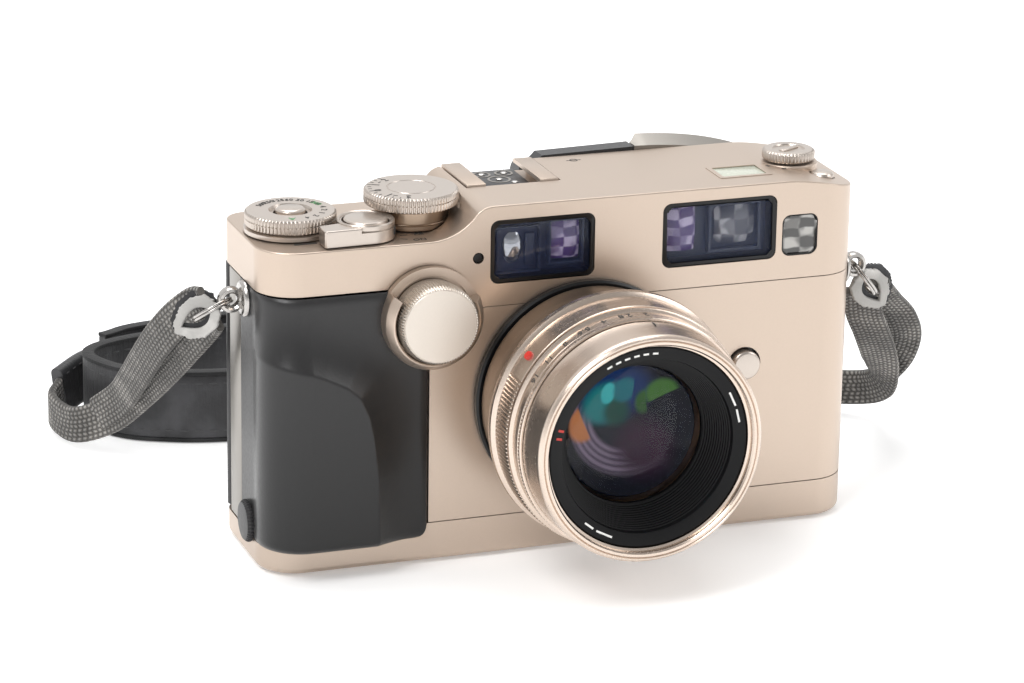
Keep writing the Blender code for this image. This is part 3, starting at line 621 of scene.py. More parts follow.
class CAMERA_OT_stage(bpy.types.Operator):
    """Sets a pale floor, soft studio light and the camera"""

    bl_idname = "object.camera_stage"
    bl_label = "Stage"

    def execute(self, context):
        floor = bmesh.new()
        bmesh.ops.create_grid(floor, x_segments=1, y_segments=1, size=6.0)
        mesh = bpy.data.meshes.new("floor")
        floor.to_mesh(mesh)
        floor.free()
        ground = bpy.data.objects.new("floor", mesh)
        context.collection.objects.link(ground)
        paper = Finish("paper", Roughness=0.6, Specular_IOR_Level=0.2, Emission_Strength=1.0)
        tone = paper.noise(6, 2.0)
        away = paper.node("ShaderNodeVectorMath", {"operation": "LENGTH"}, {0: paper.place()}, output=1)
        mesh.materials.append(paper.set(
            Base_Color=paper.tones(tone, 0.99, 1.0, (0.93, 0.93, 0.93)),
            Emission_Color=paper.mix(away.ramp(0.5, 3.0), (0.26, 0.26, 0.26), (1.0, 1.0, 1.0)),
        ))
        world = bpy.data.worlds.new("studio")
        context.scene.world = world
        world.use_nodes = True
        tree = world.node_tree
        way = tree.nodes.new("ShaderNodeTexCoord")
        parts = tree.nodes.new("ShaderNodeSeparateXYZ")
        share = tree.nodes.new("ShaderNodeMapRange")
        share.interpolation_type = "SMOOTHSTEP"
        for socket, value in (("From Min", -0.4), ("From Max", 0.7), ("To Min", 0.4), ("To Max", 1.02)):
            share.inputs[socket].default_value = value
        tree.links.new(way.outputs["Generated"], parts.inputs["Vector"])
        tree.links.new(parts.outputs["Y"], share.inputs["Value"])
        level = tree.nodes.new("ShaderNodeMapRange")
        level.interpolation_type = "SMOOTHSTEP"
        for socket, value in (("From Min", 0.16), ("From Max", 0.34), ("To Min", 1.02)):
            level.inputs[socket].default_value = value
        tree.links.new(parts.outputs["Z"], level.inputs["Value"])
        tree.links.new(share.outputs["Result"], level.inputs["To Max"])
        tree.links.new(level.outputs["Result"], tree.nodes["Background"].inputs["Strength"])
        tree.nodes["Background"].inputs["Color"].default_value = (1.0, 1.0, 1.0, 1.0)
        lamps = (
            ("key", (-0.9, -0.5, 1.4), 0.8, 16.0),
            ("fill", (1.2, -0.6, 0.9), 0.7, 5.0),
            ("top", (0.1, 0.5, 1.5), 1.1, 13.0),
        )
        for name, place, size, power in lamps:
            light = bpy.data.lights.new(name, "AREA")
            light.shape = "SQUARE"
            light.size = size
            light.energy = power
            lamp = bpy.data.objects.new(name, light)
            lamp.location = place
            lamp.rotation_euler = (Vector((0, 0, 0.04)) - Vector(place)).to_track_quat("-Z", "Y").to_euler()
            context.collection.objects.link(lamp)
        view = bpy.data.cameras.new("camera")
        view.lens = 137.1
        view.sensor_width = 36.0
        view.clip_start = 0.01
        camera = bpy.data.objects.new("camera", view)
        right = Vector((0.9425, -0.3339, 0.0149))
        up = Vector((0.0912, 0.2999, 0.9496))
        back = right.cross(up)
        camera.matrix_world = Matrix.Translation((-0.28425, -0.7691, 0.3131)) @ Matrix(
            (right, up, back)
        ).transposed().to_4x4()
        context.collection.objects.link(camera)
        context.scene.camera = camera
        context.scene.view_settings.view_transform = "Standard"
        return {"FINISHED"}


# Strap


def route(stations, spacing):
    """Evenly spaced (point, across) pairs on a smooth curve through the stations."""
    rows = [(*place, *Vector(across).normalized()) for place, across in stations]
    rows = [[2 * a - b for a, b in zip(rows[0], rows[1])]] + rows + [[2 * a - b for a,
                                                                      b in zip(rows[-1], rows[-2])]]
    fine = []
    for four in zip(rows, rows[1:], rows[2:], rows[3:]):
        for i in range(24):
            t = i / 24
            fine.append([
                0.5 * (2 * q + (r - p) * t + (2 * p - 5 * q + 4 * r - s) * t**2
                       + (3 * q - p - 3 * r + s) * t**3)
                for p, q, r, s in zip(*four)
            ])
    fine.append(list(rows[-2]))
    walked = [0.0]
    for a, b in zip(fine, fine[1:]):
        walked.append(walked[-1] + (Vector(b[:3]) - Vector(a[:3])).length)
    count = max(2, round(walked[-1] / spacing))
    even, i = [], 0
    for step in range(count + 1):
        goal = walked[-1] * step / count
        while i < len(fine) - 2 and walked[i + 1] < goal:
            i += 1
        share = (goal - walked[i]) / max(walked[i + 1] - walked[i], 1e-9)
        even.append([a + (b - a) * share for a, b in zip(fine[i], fine[i + 1])])
    return [(Vector(row[:3]), Vector(row[3:]).normalized()) for row in even], walked[-1]


def strip(stations, width, thick, spacing, crown=0.0):
    """A flat strap drawn along a route, with an across and along map in metres for its weave."""
    points, total = route(stations, spacing)
    edge = min(thick * 0.45, width * 0.2)
    section = rounded(-width / 2, width / 2, -thick / 2, thick / 2, edge, 3)
    shape = bmesh.new()
    layer = shape.loops.layers.uv.new("strip")
    rows = []
    for i, (point, across) in enumerate(points):
        ahead = points[min(i + 1, len(points) - 1)][0] - points[max(i - 1, 0)][0]
        along = ahead.normalized()
        across = (across - along * across.dot(along)).normalized()
        flat = along.cross(across)
        ring = []
        for u, v in section:
            lift = crown * (1 - (2 * u / width) ** 2) if v > 0 else 0.0
            ring.append(shape.verts.new(point + across * u + flat * (v + lift)))
        rows.append(ring)
    far = total * MM
    for i, (first, second) in enumerate(zip(rows, rows[1:])):
        starts = (far * i / (len(rows) - 1), far * (i + 1) / (len(rows) - 1))
        for j, (u, _) in enumerate(section):
            k = (j + 1) % len(section)
            face = shape.faces.new((first[j], first[k], second[k], second[j]))
            spots = ((u, starts[0]), (section[k][0], starts[0]), (section[k][0], starts[1]), (u, starts[1]))
            for loop, (a, b) in zip(face.loops, spots):
                loop[layer].uv = (a * MM, b)
    shape.faces.new(rows[0])
    shape.faces.new(list(reversed(rows[-1])))
    bmesh.ops.recalc_face_normals(shape, faces=shape.faces)
    return shape, [point * MM for point, _ in points], far


EDGE_UP = (0.0, 0.0, -1.0)
TILT = (0.42, -0.43, -0.80)
LEAN = (0.88, -0.43, 0.11)
LEFT_WEBBING = [
    ((-75.6, 1.4, 56.0), TILT), ((-75.3, 7.0, 52.4), TILT), ((-76.7, 17.0, 44.8), TILT),
    ((-77.9, 32.0, 34.5), TILT),
    ((-79.2, 50.0, 23.0), (0.36, -0.36, -0.86)), ((-82.4, 66.0, 12.2), (0.2, -0.2, -0.96)),
    ((-88.6, 77.0, 6.6), EDGE_UP), ((-90.8, 90.0, 6.2), EDGE_UP), ((-87.0, 98.6, 6.8), EDGE_UP),
]
LEFT_RETURN = [
    ((-76.4, 1.8, 58.2), TILT), ((-77.4, 7.5, 56.4), TILT), ((-80.0, 15.0, 50.9), TILT),
    ((-81.7, 24.5, 43.3), TILT), ((-82.0, 37.0, 34.0), TILT),
    ((-81.8, 50.0, 24.8), (0.36, -0.36, -0.86)), ((-82.0, 60.0, 17.8), (0.3, -0.3, -0.9)),
    ((-84.6, 69.5, 11.4), (0.2, -0.2, -0.96)),
]
RIGHT_WEBBING = [
    ((75.9, -2.2, 48.6), LEAN), ((79.9, 5.0, 40.8), LEAN), ((84.7, 11.0, 34.1), LEAN),
    ((91.0, 20.0, 25.7), LEAN),
    ((96.6, 29.0, 17.8), (0.75, -0.4, -0.4)), ((100.4, 38.0, 10.8), (0.4, -0.3, -0.8)),
    ((98.0, 47.5, 6.8), (0.1, -0.1, -1.0)), ((82.4, 55.6, 6.6), EDGE_UP),
]
RIGHT_RETURN = [
    ((78.0, -2.4, 50.4), LEAN), ((85.6, 6.5, 43.2), LEAN), ((92.0, 12.0, 37.0), LEAN),
    ((97.2, 19.0, 29.4), LEAN),
    ((99.4, 27.0, 21.5), (0.8, -0.4, -0.3)), ((99.6, 35.0, 15.0), (0.7, -0.4, -0.5)),
]
BAND_MIDDLE = 9.0
BAND = [
    (-74.0, 108.6), (-58.0, 114.4), (0.6, 118.0), (45.6, 116.6), (60.6, 111.0), (45.6, 105.4), (0.6, 104.6),
    (-52.0, 106.4), (-72.0, 103.6), (-80.6, 96.2), (-76.6, 84.6), (-67.4, 77.9), (-50.0, 73.0),
    (0.6, 68.0), (40.0, 63.4), (60.4, 60.0), ]
STRAP_ENDS = {
    "left": ((-86.9, 99.3, 7.2), (-80.6, 104.3, 8.6), (-74.6, 108.2, 9.0)),
    "right": ((81.6, 55.9, 7.0), (71.0, 58.2, 8.6), (61.2, 59.9, 9.0)),
}


def stitches(stations, height, side, pitch=3.4, wide=0.55):
    """A row of thread stitches along a strap, at a height across it, on one of its faces."""
    points, _ = route(stations, pitch)
    found = []
    for (a, across), (b, _) in zip(points, points[1:]):
        along = (b - a).normalized()
        flat = along.cross(across)
        middle = a.lerp(b, 0.5) + across * height + flat * side
        stitch = bmesh.new()
        bmesh.ops.create_uvsphere(stitch, u_segments=6, v_segments=4, radius=0.5)
        stitch.transform(Matrix.LocRotScale(
            middle, Matrix((along, across, flat)).transposed().to_quaternion(),
            Vector((pitch * 0.72, wide, wide * 0.7))
        ))
        found.append(stitch)
    return found


class CAMERA_OT_strap(bpy.types.Operator):
    """Lays out the woven strap, the leather band and their sewn ends"""

    bl_idname = "object.camera_strap"
    bl_label = "Strap"

    def execute(self, context):
        wide = sizes().webbing_width / MM
        band_wide = sizes().band_width / MM
        band_route = [((x, y, BAND_MIDDLE), EDGE_UP) for x, y in BAND]
        shape, path, total = strip(band_route, band_wide, 2.4, 2.0)
        band = piece("strap_band", shape, "leather", replaces=["strap_band"])
        thread = piece("band_stitching", gather(*[
            stitch for height in (-band_wide / 2 + 2.6, band_wide / 2 - 2.6) for side in (1.2, -1.2)
            for stitch in stitches(band_route, height, side)
        ]), "thread")
        rims = []
        for height in (-band_wide / 2 + 0.2, band_wide / 2 - 0.2):
            shape, _, _ = strip([((x, y, BAND_MIDDLE - height), EDGE_UP) for x, y in BAND], 0.9, 2.9, 2.0)
            rims.append(shape)
        rim = piece("band_piping", gather(*rims), "lining")
        ends = {}
        for side, places in STRAP_ENDS.items():
            stations = [(place, EDGE_UP) for place in places]
            shape, _, _ = strip(stations, 12.5, 3.4, 0.8, crown=0.3)
            rows = [stitch for height in (-4.6, 4.6) for face in (1.75, -1.75)
                    for stitch in stitches(stations, height, face, 2.4, 0.5)]
            ends[side] = [piece("strap_end_" + side, shape, "leather", replaces=["strap_end_" + side]),
                          piece("end_stitching_" + side, gather(*rows), "thread")]
        for flattened in [band, thread, rim] + ends["left"]:
            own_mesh(flattened)
        for side, stations, back_leg in (("left", LEFT_WEBBING, LEFT_RETURN),
                                         ("right", RIGHT_WEBBING, RIGHT_RETURN)):
            shape, path, total = strip(stations, wide, 1.9, 1.2)
            webbing = piece("strap_webbing_" + side, shape, "webbing", replaces=["strap_webbing_" + side])
            shape, _, _ = strip(back_leg, wide * 0.94, 1.7, 1.2)
            second = piece("webbing_return_" + side, shape, "webbing")
        return {"FINISHED"}


# Body


def plan_outline(inset=0.0, count=14):
    """The body seen from above, drawn in from its outer face."""
    side, low, high = SIDE - inset, FRONT + inset, BACK - inset
    front_round, back_round = 9.0 - inset, max(5.0 - inset, 1.0)
    points = arc((side - back_round, high - back_round), back_round, 0, 90, count // 2)
    points += arc((-side + back_round, high - back_round), back_round, 90, 180, count // 2)
    points += arc((-side + front_round, low + front_round), front_round, 180, 270, count)
    points += arc((side - front_round, low + front_round), front_round, 270, 360, count)
    return points


def deck_profile(floor=30.0):
    """The top cover seen from the front."""
    past = SIDE + 1.0
    points = [(-past, floor), (past, floor), (past, 76.4)]
    points += bend((SIDE, 76.6), (57.0, HIGH_DECK), (50.0, HIGH_DECK), 14)
    points += bend((-17.6, HIGH_DECK), (-20.2, 79.9), (-21.4, 78.6), 8)
    points += bend((-22.6, 77.2), (-26.6, DIAL_DECK), (-32.0, DIAL_DECK), 12)
    return points + [(-past, DIAL_DECK)]


def drum(radius, low, high, place=(0, 0, 0), direction="up", segments=64):
    return turned([(0, high), (radius, high), (radius, low), (0, low)], place, direction, segments)


WINDOWS = {
    "left": (-18.5, 5.4, 62.6, 76.8),
    "right": (21.1, 48.0, 62.6, 77.2),
    "meter": (49.4, 57.9, 62.9, 72.3),
}


def near(value, goal, slack=0.02):
    return abs(value - goal) < slack


def both(edge, test):
    return all(test(vert.co) for vert in edge.verts)


def make_top_cover():
    round_off = sizes().edge_round / MM
    shell = carve(prism(plan_outline(), 45, 90), prism(deck_profile(), -60, 60, "front"),
                  operation="INTERSECT")
    bmesh.ops.dissolve_limit(shell, angle_limit=0.002, verts=shell.verts, edges=shell.edges)
    soften(shell, lambda e: both(e, lambda co: co.z > 70), round_off, 7, least=48)
    wide = 90
    under = block((-wide, -40, 20), (wide, 40, 57.7))
    over_grip = block((-wide, -40, 20), (-32.3, 40, 63.5))
    over_door = block((-wide, 12.4, 20), (wide, 40, 63.5))
    shoe_bay = block((-18.8, -0.6, 76.4), (3.0, 40, 90))
    display = block((37.5, -9.3, 79.0), (49.0, -0.9, 90))
    bay = turned([(0, 90), (10.8, 90), (10.8, 77.3), (8.6, 77.3), (8.6, DIAL_DECK), (0, DIAL_DECK)],
                 (*EXPOSURE_DIAL, 0))
    cutters = [under, over_grip, over_door, prism(plan_outline(2.4), 20, 71.5), shoe_bay, display, bay,
               drum(2.9, 75, 90, MODE_BUTTON, segments=32), drum(1.25, 10, 18, SIGNAL_LAMP, "front", 24)]
    shell = carve(shell, *cutters)
    for low_x, high_x, low_z, high_z in WINDOWS.values():
        hole = prism(rounded(low_x, high_x, low_z, high_z, 1.9), 9, 23, "front")
        shell = carve(shell, hole)
    boss = turned([(0, 80.05), (6.2, 80.0), (6.5, 79.7), (6.5, 76.5), (0, 76.5)], (*DRIVE_DIAL, 0))
    piece("top_cover", carve(shell, boss, operation="UNION"), "titanium", replaces=["top_cover"], sharp=28,
          level=True)


def make_front_cover():
    seam = sizes().seam_round / MM
    shell = prism(plan_outline(), 9.55, 57.55)
    soften(shell, lambda e: near(e.verts[0].co.z, e.verts[1].co.z), seam, 2)
    throat = drum(22.6, 8, 30, (LENS_X, 0, LENS_Z), "front", 128)
    release = drum(3.9, 8, 30, (LENS_RELEASE[0], 0, LENS_RELEASE[1]), "front", 48)
    shell = carve(
        shell, prism(plan_outline(SHELL), 0, 80), block((-90, -40, 0), (-32.0, 40, 90)),
        block((-90, 12.1, 0), (90, 40, 90)), throat, release,
    )
    piece("front_cover", shell, "titanium", replaces=["front_cover"], sharp=28, level=True)


def make_bottom_cover():
    tray = prism(plan_outline(), 0.6, 30)
    soften(tray, lambda e: both(e, lambda co: near(co.z, 0.6)), 1.4, 5)
    feet = [turned([(0, 1.2), (4.0, 1.2), (4.0, 0.3), (3.7, 0.0), (0, 0.0)], (x, y, 0), segments=40)
            for x, y in ((-57, -9.6), (57, -9.6), (-57, 11), (57, 11))]
    pad = prism(rounded(-10, 17.3, -4, 15, 3.0), 0, 1.2)
    grip_corner = block((-38.0, -15.95, 2.0), (-32.0, -14.4, 9.3))
    tray = carve(tray, pad, *feet, operation="UNION")
    tray = carve(
        tray, prism(plan_outline(SHELL), 2.2, 42), block((-90, -40, 9.4), (90, 40, 60)),
        block((-90, -40, 6.3), (-32.3, 40, 60)), block((-90, 12.1, 6.3), (90, 40, 60)),
        drum(6.0, -5, 20, TRIPOD_SOCKET), drum(9.6, -5, 20, BATTERY_COVER),
    )
    tray = carve(tray, grip_corner, operation="UNION")
    piece("bottom_cover", tray, "titanium", replaces=["bottom_cover"], sharp=28, level=True)
    lid = turned([(0, 0.6), (8.7, 0.6), (9.3, 1.0), (9.3, 2.2), (0, 2.2)][::-1], BATTERY_COVER, segments=72)
    lid = carve(lid, block((-50.5, -0.8, -1), (-37.5, 0.8, 1.3)))
    piece("battery_cover", lid, "steel", "battery_cover", ["battery_cover"])
    bush = [(3.2, 8.5), (5.7, 8.5), (5.7, 0.9), (5.4, 0.6), (3.5, 0.6)]
    rows = [(3.2 + 0.22 * (i % 2), 1.0 + i * 0.375) for i in range(20)]
    piece("tripod_socket", turned(bush + rows, TRIPOD_SOCKET, segments=64), "steel",
          replaces=["tripod_socket"])
    screws = [carve(turned([(0, 0.45), (1.5, 0.45), (1.75, 0.75), (1.75, 1.4), (0, 1.4)][::-1], (x, y, 0),
                           segments=28), block((x - 1.1, y - 0.16, 0), (x + 1.1, y + 0.16, 0.75)),
                    block((x - 0.16, y - 1.1, 0), (x + 0.16, y + 1.1, 0.75)))
              for x, y in ((-25, -11), (30, -11), (-25, 12), (40, 12), (64, 0))]
    piece("base_screws", gather(*screws), "steel")


GRIP_RIDGE = (
    (-44.9, 6.6), (-45.2, 23.0), (-46.2, 32.0), (-47.2, 37.0), (-49.2, 41.5), (-52.0, 44.0), (-57.2, 46.6),
    (-62.0, 48.6), (-68.0, 50.2),
)
GRIP_SKIN = 1.5
GRIP_REST = 4.4
GRIP_SLOPE = 15.0


def grip_height(x, z):
    """How far the hand grip stands out of the body's front at a place: a flat skin with a raised palm rest
    to the left of and below a curved ridge."""
    best = math.inf
    for start, end in zip(GRIP_RIDGE, GRIP_RIDGE[1:]):
        a, b, p = Vector(start), Vector(end), Vector((x, z))
        share = max(0.0, min(1.0, (p - a).dot(b - a) / (b - a).length_squared))
        gap = p - a.lerp(b, share)
        side = -1 if (b - a).cross(gap) > 0 else 1
        if gap.length < abs(best):
            best = gap.length * side
    outside = min(1.0, max(0.0, best) / GRIP_SLOPE)
    return GRIP_SKIN + GRIP_REST * (1 - outside) ** 2.4


class CAMERA_OT_body(bpy.types.Operator):
    """Makes the metal covers, the underside's fittings and the side strip"""

    bl_idname = "object.camera_body"
    bl_label = "Body covers"

    def execute(self, context):
        make_top_cover()
        make_front_cover()
        make_bottom_cover()
        side = carve(prism(plan_outline(), GRIP_LOW, GRIP_HIGH), prism(plan_outline(SHELL), 0, 90),
                     block((-90, -60, 0), (90, 3.2, 90)), block((-90, 11.8, 0), (90, 60, 90)),
                     block((-60, -60, 0), (90, 60, 90)))
        soften(side, lambda e: both(e, lambda co: co.x < -68.5), 0.3, 2)
        piece("side_plate", side, "hump metal", replaces=["side_plate"])
        dot = turned([(0, 15.8), (0.95, 15.7), (1.05, 15.4), (1.05, 14), (0, 14)], SIGNAL_LAMP, "front", 24)
        piece("signal_lamp", dot, "black enamel")
        cap = [(0, 1.5), (3.4, 1.7), (4.1, 1.6), (4.5, 1.2, 0.25), (4.7, 0.9, 0.25), (4.7, 0.3, 0.25),
               (0, 0.3)]
        piece("cable_socket_cap", turned(cap, (-SIDE, -3.2, 9.6), "left", teeth=36), "grip rubber",
              replaces=["cable_socket_cap"])
        return {"FINISHED"}


class CAMERA_OT_grip(bpy.types.Operator):
    """Moulds the rubber hand grip round the body's end"""

    bl_idname = "object.camera_grip"
    bl_label = "Hand grip"

    def execute(self, context):
        corner, corner_round, rim_round, across, rows = 9.0, 3.4, 2.2, 84, 130
        low, high, right, flat_end = GRIP_LOW, GRIP_HIGH, GRIP_RIGHT, corner - SIDE
        around = [(right + (flat_end - right) * i / across, FRONT, 0.0, -1.0) for i in range(across + 1)]
        for i in range(1, 17):
            angle = math.radians(270 - 90 * i / 16)
            way = (math.cos(angle), math.sin(angle))
            around.append((flat_end + corner * way[0], FRONT + corner + corner * way[1], *way))
        around += [(-SIDE, FRONT + corner + (2.9 - FRONT - corner) * i / 8, -1.0, 0.0) for i in range(1, 9)]
        shape = bmesh.new()
        bmesh.ops.create_grid(shape, x_segments=len(around) - 1, y_segments=rows, size=0.5)
        for vert in shape.verts:
            x, y, out_x, out_y = around[round((vert.co.x + 0.5) * (len(around) - 1))]
            z = low + (high - low) * (vert.co.y + 0.5)
            in_front = y == FRONT
            if in_front and z - low < corner_round:
                inset = corner_round - math.sqrt(corner_round**2 - (corner_round - (z - low)) ** 2)
                x = flat_end + (x - flat_end) * (1 - inset / (right - flat_end))
            bend_share = max(0.0, min(1.0, (y - FRONT) / corner))
            height = grip_height(x, z) * (1 - bend_share) ** 1.5
            edge = min(z - low, high - z, (right - x) if in_front else corner)
            soft = min(1.0, max(0.0, edge / rim_round))
            height *= 0.35 + 0.65 * math.sqrt(soft * (2 - soft)) if height > 0.01 else 1.0
            vert.co = (x + out_x * height, y + out_y * height, z)
        dial = Vector((FOCUS_DIAL[0], FRONT, FOCUS_DIAL[1]))
        under_dial = [face for face in shape.faces if face.calc_center_median().y < -10
                      and ((face.calc_center_median() - dial) * Vector((1, 0, 1))).length < 10.4]
        bmesh.ops.delete(shape, geom=under_dial, context="FACES")
        bmesh.ops.recalc_face_normals(shape, faces=shape.faces)
        if sum(face.normal.y for face in shape.faces) > 0:
            bmesh.ops.reverse_faces(shape, faces=shape.faces)
        bmesh.ops.solidify(shape, geom=shape.faces[:], thickness=GRIP_SKIN)
        # The grip's rubber carries painted shade, paler toward its top and dark at its foot.
        piece("hand_grip", shape, "rubber with painted shade", replaces=["hand_grip"], sharp=50)
        return {"FINISHED"}


# Lens


def lens_piece(name, profile, material, body="camera", replaces=(), teeth=0, segments=160, sharp=30):
    shape = turned(profile, (LENS_X, 0, LENS_Z), "front", segments, teeth)
    return piece(name, shape, material, body, replaces, sharp)


def ring_mark(text, degrees, radius, depth, size):
    """Numbers standing on a ring of the lens, facing outwards and read from behind the camera."""
    angle = math.radians(degrees)
    outward = Vector((math.cos(angle), 0, math.sin(angle)))
    upward = Vector((0, -1, 0))
    turn = Matrix((upward.cross(outward), upward, outward)).transposed()
    place = Vector((LENS_X, -depth, LENS_Z)) + outward * radius
    return lettering(text, size, Matrix.Translation(place) @ turn.to_4x4(), 0.06)


def smooth_stretch(shape, start, end, low, high, radius):
    """Turns a knurled ring smooth between two angles, and between two distances in front of the body."""
    for vert in shape.verts:
        x, z = vert.co.x - LENS_X, vert.co.z - LENS_Z
        angle = math.degrees(math.atan2(z, x)) % 360
        if start < angle < end and low < -vert.co.y < high and math.hypot(x, z) > radius - 0.6:
            scale = radius / math.hypot(x, z)
            vert.co.x, vert.co.z = LENS_X + x * scale, LENS_Z + z * scale
    return shape


NAME_RING_RADIUS = 20.7
NAME_RING_MARKS = (
    (118.0, (1.2, 1.2, 1.2, 1.2, 1.2, 1.2)), (30.0, (3.4, 3.0)), (248.0, (4.0, 2.4)),
)


def name_ring_place(radius, angle):
    """A place on the name ring's face for a mark that lies along the ring."""
    place = Matrix.Translation((LENS_X + radius * math.cos(angle), -54.62, LENS_Z + radius * math.sin(angle)))
    return place @ Matrix.Rotation(math.pi / 2, 4, "X") @ Matrix.Rotation(angle - math.pi / 2, 4, "Z")


class CAMERA_OT_lens(bpy.types.Operator):
    """Turns the lens barrel, its rings, its numbers and its glass"""

    bl_idname = "object.camera_lens"
    bl_label = "Lens"

    def execute(self, context):
        knurl = sizes().knurl_depth / MM
        lens_piece("mount_ring", [(25.0, 17.9), (25.5, 17.5), (25.5, 16.3), (22.9, 16.3), (22.9, 17.9)],
                   "black enamel", replaces=["mount_ring"])
        base = [(26.9, 31.8), (26.6, 31.0)] + bend((26.2, 29.8), (24.9, 26.0), (24.8, 23.0), 10)
        base += [(24.7, 18.9), (24.5, 18.7), (18.8, 18.7), (18.8, 11.0), (16.4, 11.0), (16.4, 31.8)]
        lens_piece("lens_base", base, "bronze base", replaces=["lens_base"])
        grip = [(27.0, 41.7), (27.2, 41.5, knurl)] + [(27.25, h, knurl) for h in (40.0, 38.0, 36.5, 35.1)]
        grip += [(27.1, 34.8), (27.5, 34.6), (28.0, 34.2), (28.1, 33.2), (28.0, 32.6), (27.5, 32.1),
                 (24.0, 32.1), (24.0, 41.7)]
        shape = turned(grip, (LENS_X, 0, LENS_Z), "front", 160, 190)
        smooth_stretch(shape, 24, 152, 35.0, 41.55, 27.12)
        piece("lens_grip_ring", shape, "lens metal", replaces=["lens_grip_ring"], sharp=30)
        ring = [(25.9, 47.4), (26.15, 47.2), (26.2, 47.0, knurl), (26.2, 46.2, knurl), (26.1, 46.0),
                (25.95, 45.85),
                (26.12, 45.7), (26.12, 42.95), (25.95, 42.8), (26.6, 42.6), (26.85, 42.4), (26.85, 42.2),
                (26.6, 42.0), (24.0, 42.0), (24.0, 47.4)]
        shape = turned(ring, (LENS_X, 0, LENS_Z), "front", 160, 190)
        smooth_stretch(shape, 24, 152, 46.05, 47.1, 26.1)
        piece("aperture_ring", shape, "lens metal", "aperture_ring", ["aperture_ring"], sharp=30)
        marks = [ring_mark(text, 84 + 10.5 * i, 26.14, 44.35, 2.5)
                 for i, text in enumerate(("2", "2.8", "4", "5.6", "8", "11", "16"))]
        piece("aperture_numbers", gather(*marks), "engraving", "aperture_ring")
        barrel = [(22.9, 55.2), (22.9, 56.3), (23.2, 56.7), (23.75, 56.7), (23.95, 56.45), (24.15, 56.7),
                  (24.5, 56.65)]
        barrel += bend((24.9, 56.2), (25.15, 55.8), (25.15, 55.0), 4)
        barrel += [(25.2, 50.5), (25.4, 48.2), (25.5, 47.7), (23.7, 47.7), (23.7, 32.1), (22.4, 32.1),
                   (22.4, 55.0)]
        lens_piece("front_barrel", barrel, "lens metal", replaces=["front_barrel"])
        index = [ring_mark("|", 84, 25.42, 49.3, 2.4), ring_mark("|", 83.6, 25.42, 49.3, 2.4)]
        piece("aperture_index", gather(*index), "engraving")
        studs = [turned([(0, 0.55), (0.85, 0.45), (1.0, 0.1), (1.0, -0.6), (0, -0.6)],
                        segments=24) for _ in range(2)]
        for stud, degrees in zip(studs, (141, 262)):
            angle = math.radians(degrees)
            outward = Vector((math.cos(angle), 0, math.sin(angle)))
            place = Vector((LENS_X, -38.2, LENS_Z)) + outward * 27.3
            stud.transform(Matrix.Translation(place) @ outward.to_track_quat("Z", "Y").to_matrix().to_4x4())
        piece("mounting_marks", gather(*studs), "red mark")
        name = [(19.3, 54.2), (19.6, 54.35), (21.9, 54.85), (22.1, 54.8), (22.1, 52.0), (20.5, 52.0)]
        steps = []
        for i in range(12):
            share = i / 12
            radius, height = 19.1 - 3.3 * share, 53.6 - 7.6 * share
            steps += [(radius, height), (radius - 0.02, height - 0.36), (radius - 0.3, height - 0.45)]
        name += [(15.9, 45.2), (15.4, 45.2), (15.4, 46.2)] + steps[::-1]
        lens_piece("name_ring", name, "lens black", replaces=["name_ring"], sharp=20)
        marks = []
        for start, widths in NAME_RING_MARKS:
            degrees = start
            for width in widths:
                degrees -= math.degrees(width / 2 / NAME_RING_RADIUS)
                a = math.radians(degrees)
                marks.append(dash(width, 0.42, name_ring_place(NAME_RING_RADIUS, a), 0.1))
                degrees -= math.degrees((width / 2 + 0.9) / NAME_RING_RADIUS)
        piece("name_ring_marks", gather(*marks), "white mark")
        red = [dash(0.5, 1.5, name_ring_place(20.6, math.radians(degrees)), 0.1) for degrees in (164, 169)]
        piece("name_ring_red", gather(*red), "red mark")
        make_lens_glass()
        return {"FINISHED"}


def glass_with_painted_reflections(name, base, patches, arcs):
    """Dark glass with painted reflections: coloured patches and arcs, like those its coatings reflect,
    painted into its colour.

    A patch is (colour, centre x, centre z, radius, squash, edge, direction and offset of a
    straight side). The arcs are (colour, centre x, centre z, rings per metre, inner and outer
    radius). Both are in millimetres from the lens's axis.
    """
    made = Finish(name, IOR=1.3, Coat_Weight=0.12, Coat_Roughness=0.02, Specular_IOR_Level=0.25)
    where = made.place()
    side, height = made.part(where, 0) - LENS_X * MM, made.part(where, 2) - LENS_Z * MM

    def away(x, z, squash):
        spot = made.node("ShaderNodeMapping", {"vector_type": "POINT"}, {
            "Vector": where, "Location": (-(LENS_X + x) * MM * squash, 0, -(LENS_Z + z) * MM),
            "Scale": (squash, 0.0, 1.0)})
        return made.node("ShaderNodeVectorMath", {"operation": "LENGTH"}, {0: spot}, output=1)

    tint, x, z, rings, inner, outer = arcs
    distance = away(x, z, 1.0)
    lines = distance.wave(rings) * 0.6 + 0.4
    band = distance.ramp(inner * MM, (inner + 0.6) * MM) * (1 - distance.ramp((outer - 1.5) * MM, outer * MM))
    below = 1 - (height * 0.8 + side * 0.6).ramp(-5.0 * MM, 1.0 * MM)
    colour_now = made.mix(lines * band * below, base, tint)
    for tint, x, z, radius, squash, edge, (direction, offset) in patches:
        lean = math.radians(direction)
        beside = 1 - (side * math.cos(lean) + height * math.sin(lean)).ramp((offset - 0.4) * MM, offset * MM)
        share = (1 - away(x, z, squash).ramp(radius * MM * edge, radius * MM)) * beside
        colour_now = made.mix(share, colour_now, tint)
    swirl = made.noise(90, 3.0)
    return made.set(Base_Color=colour_now, Roughness=swirl * 0.03 + 0.03)
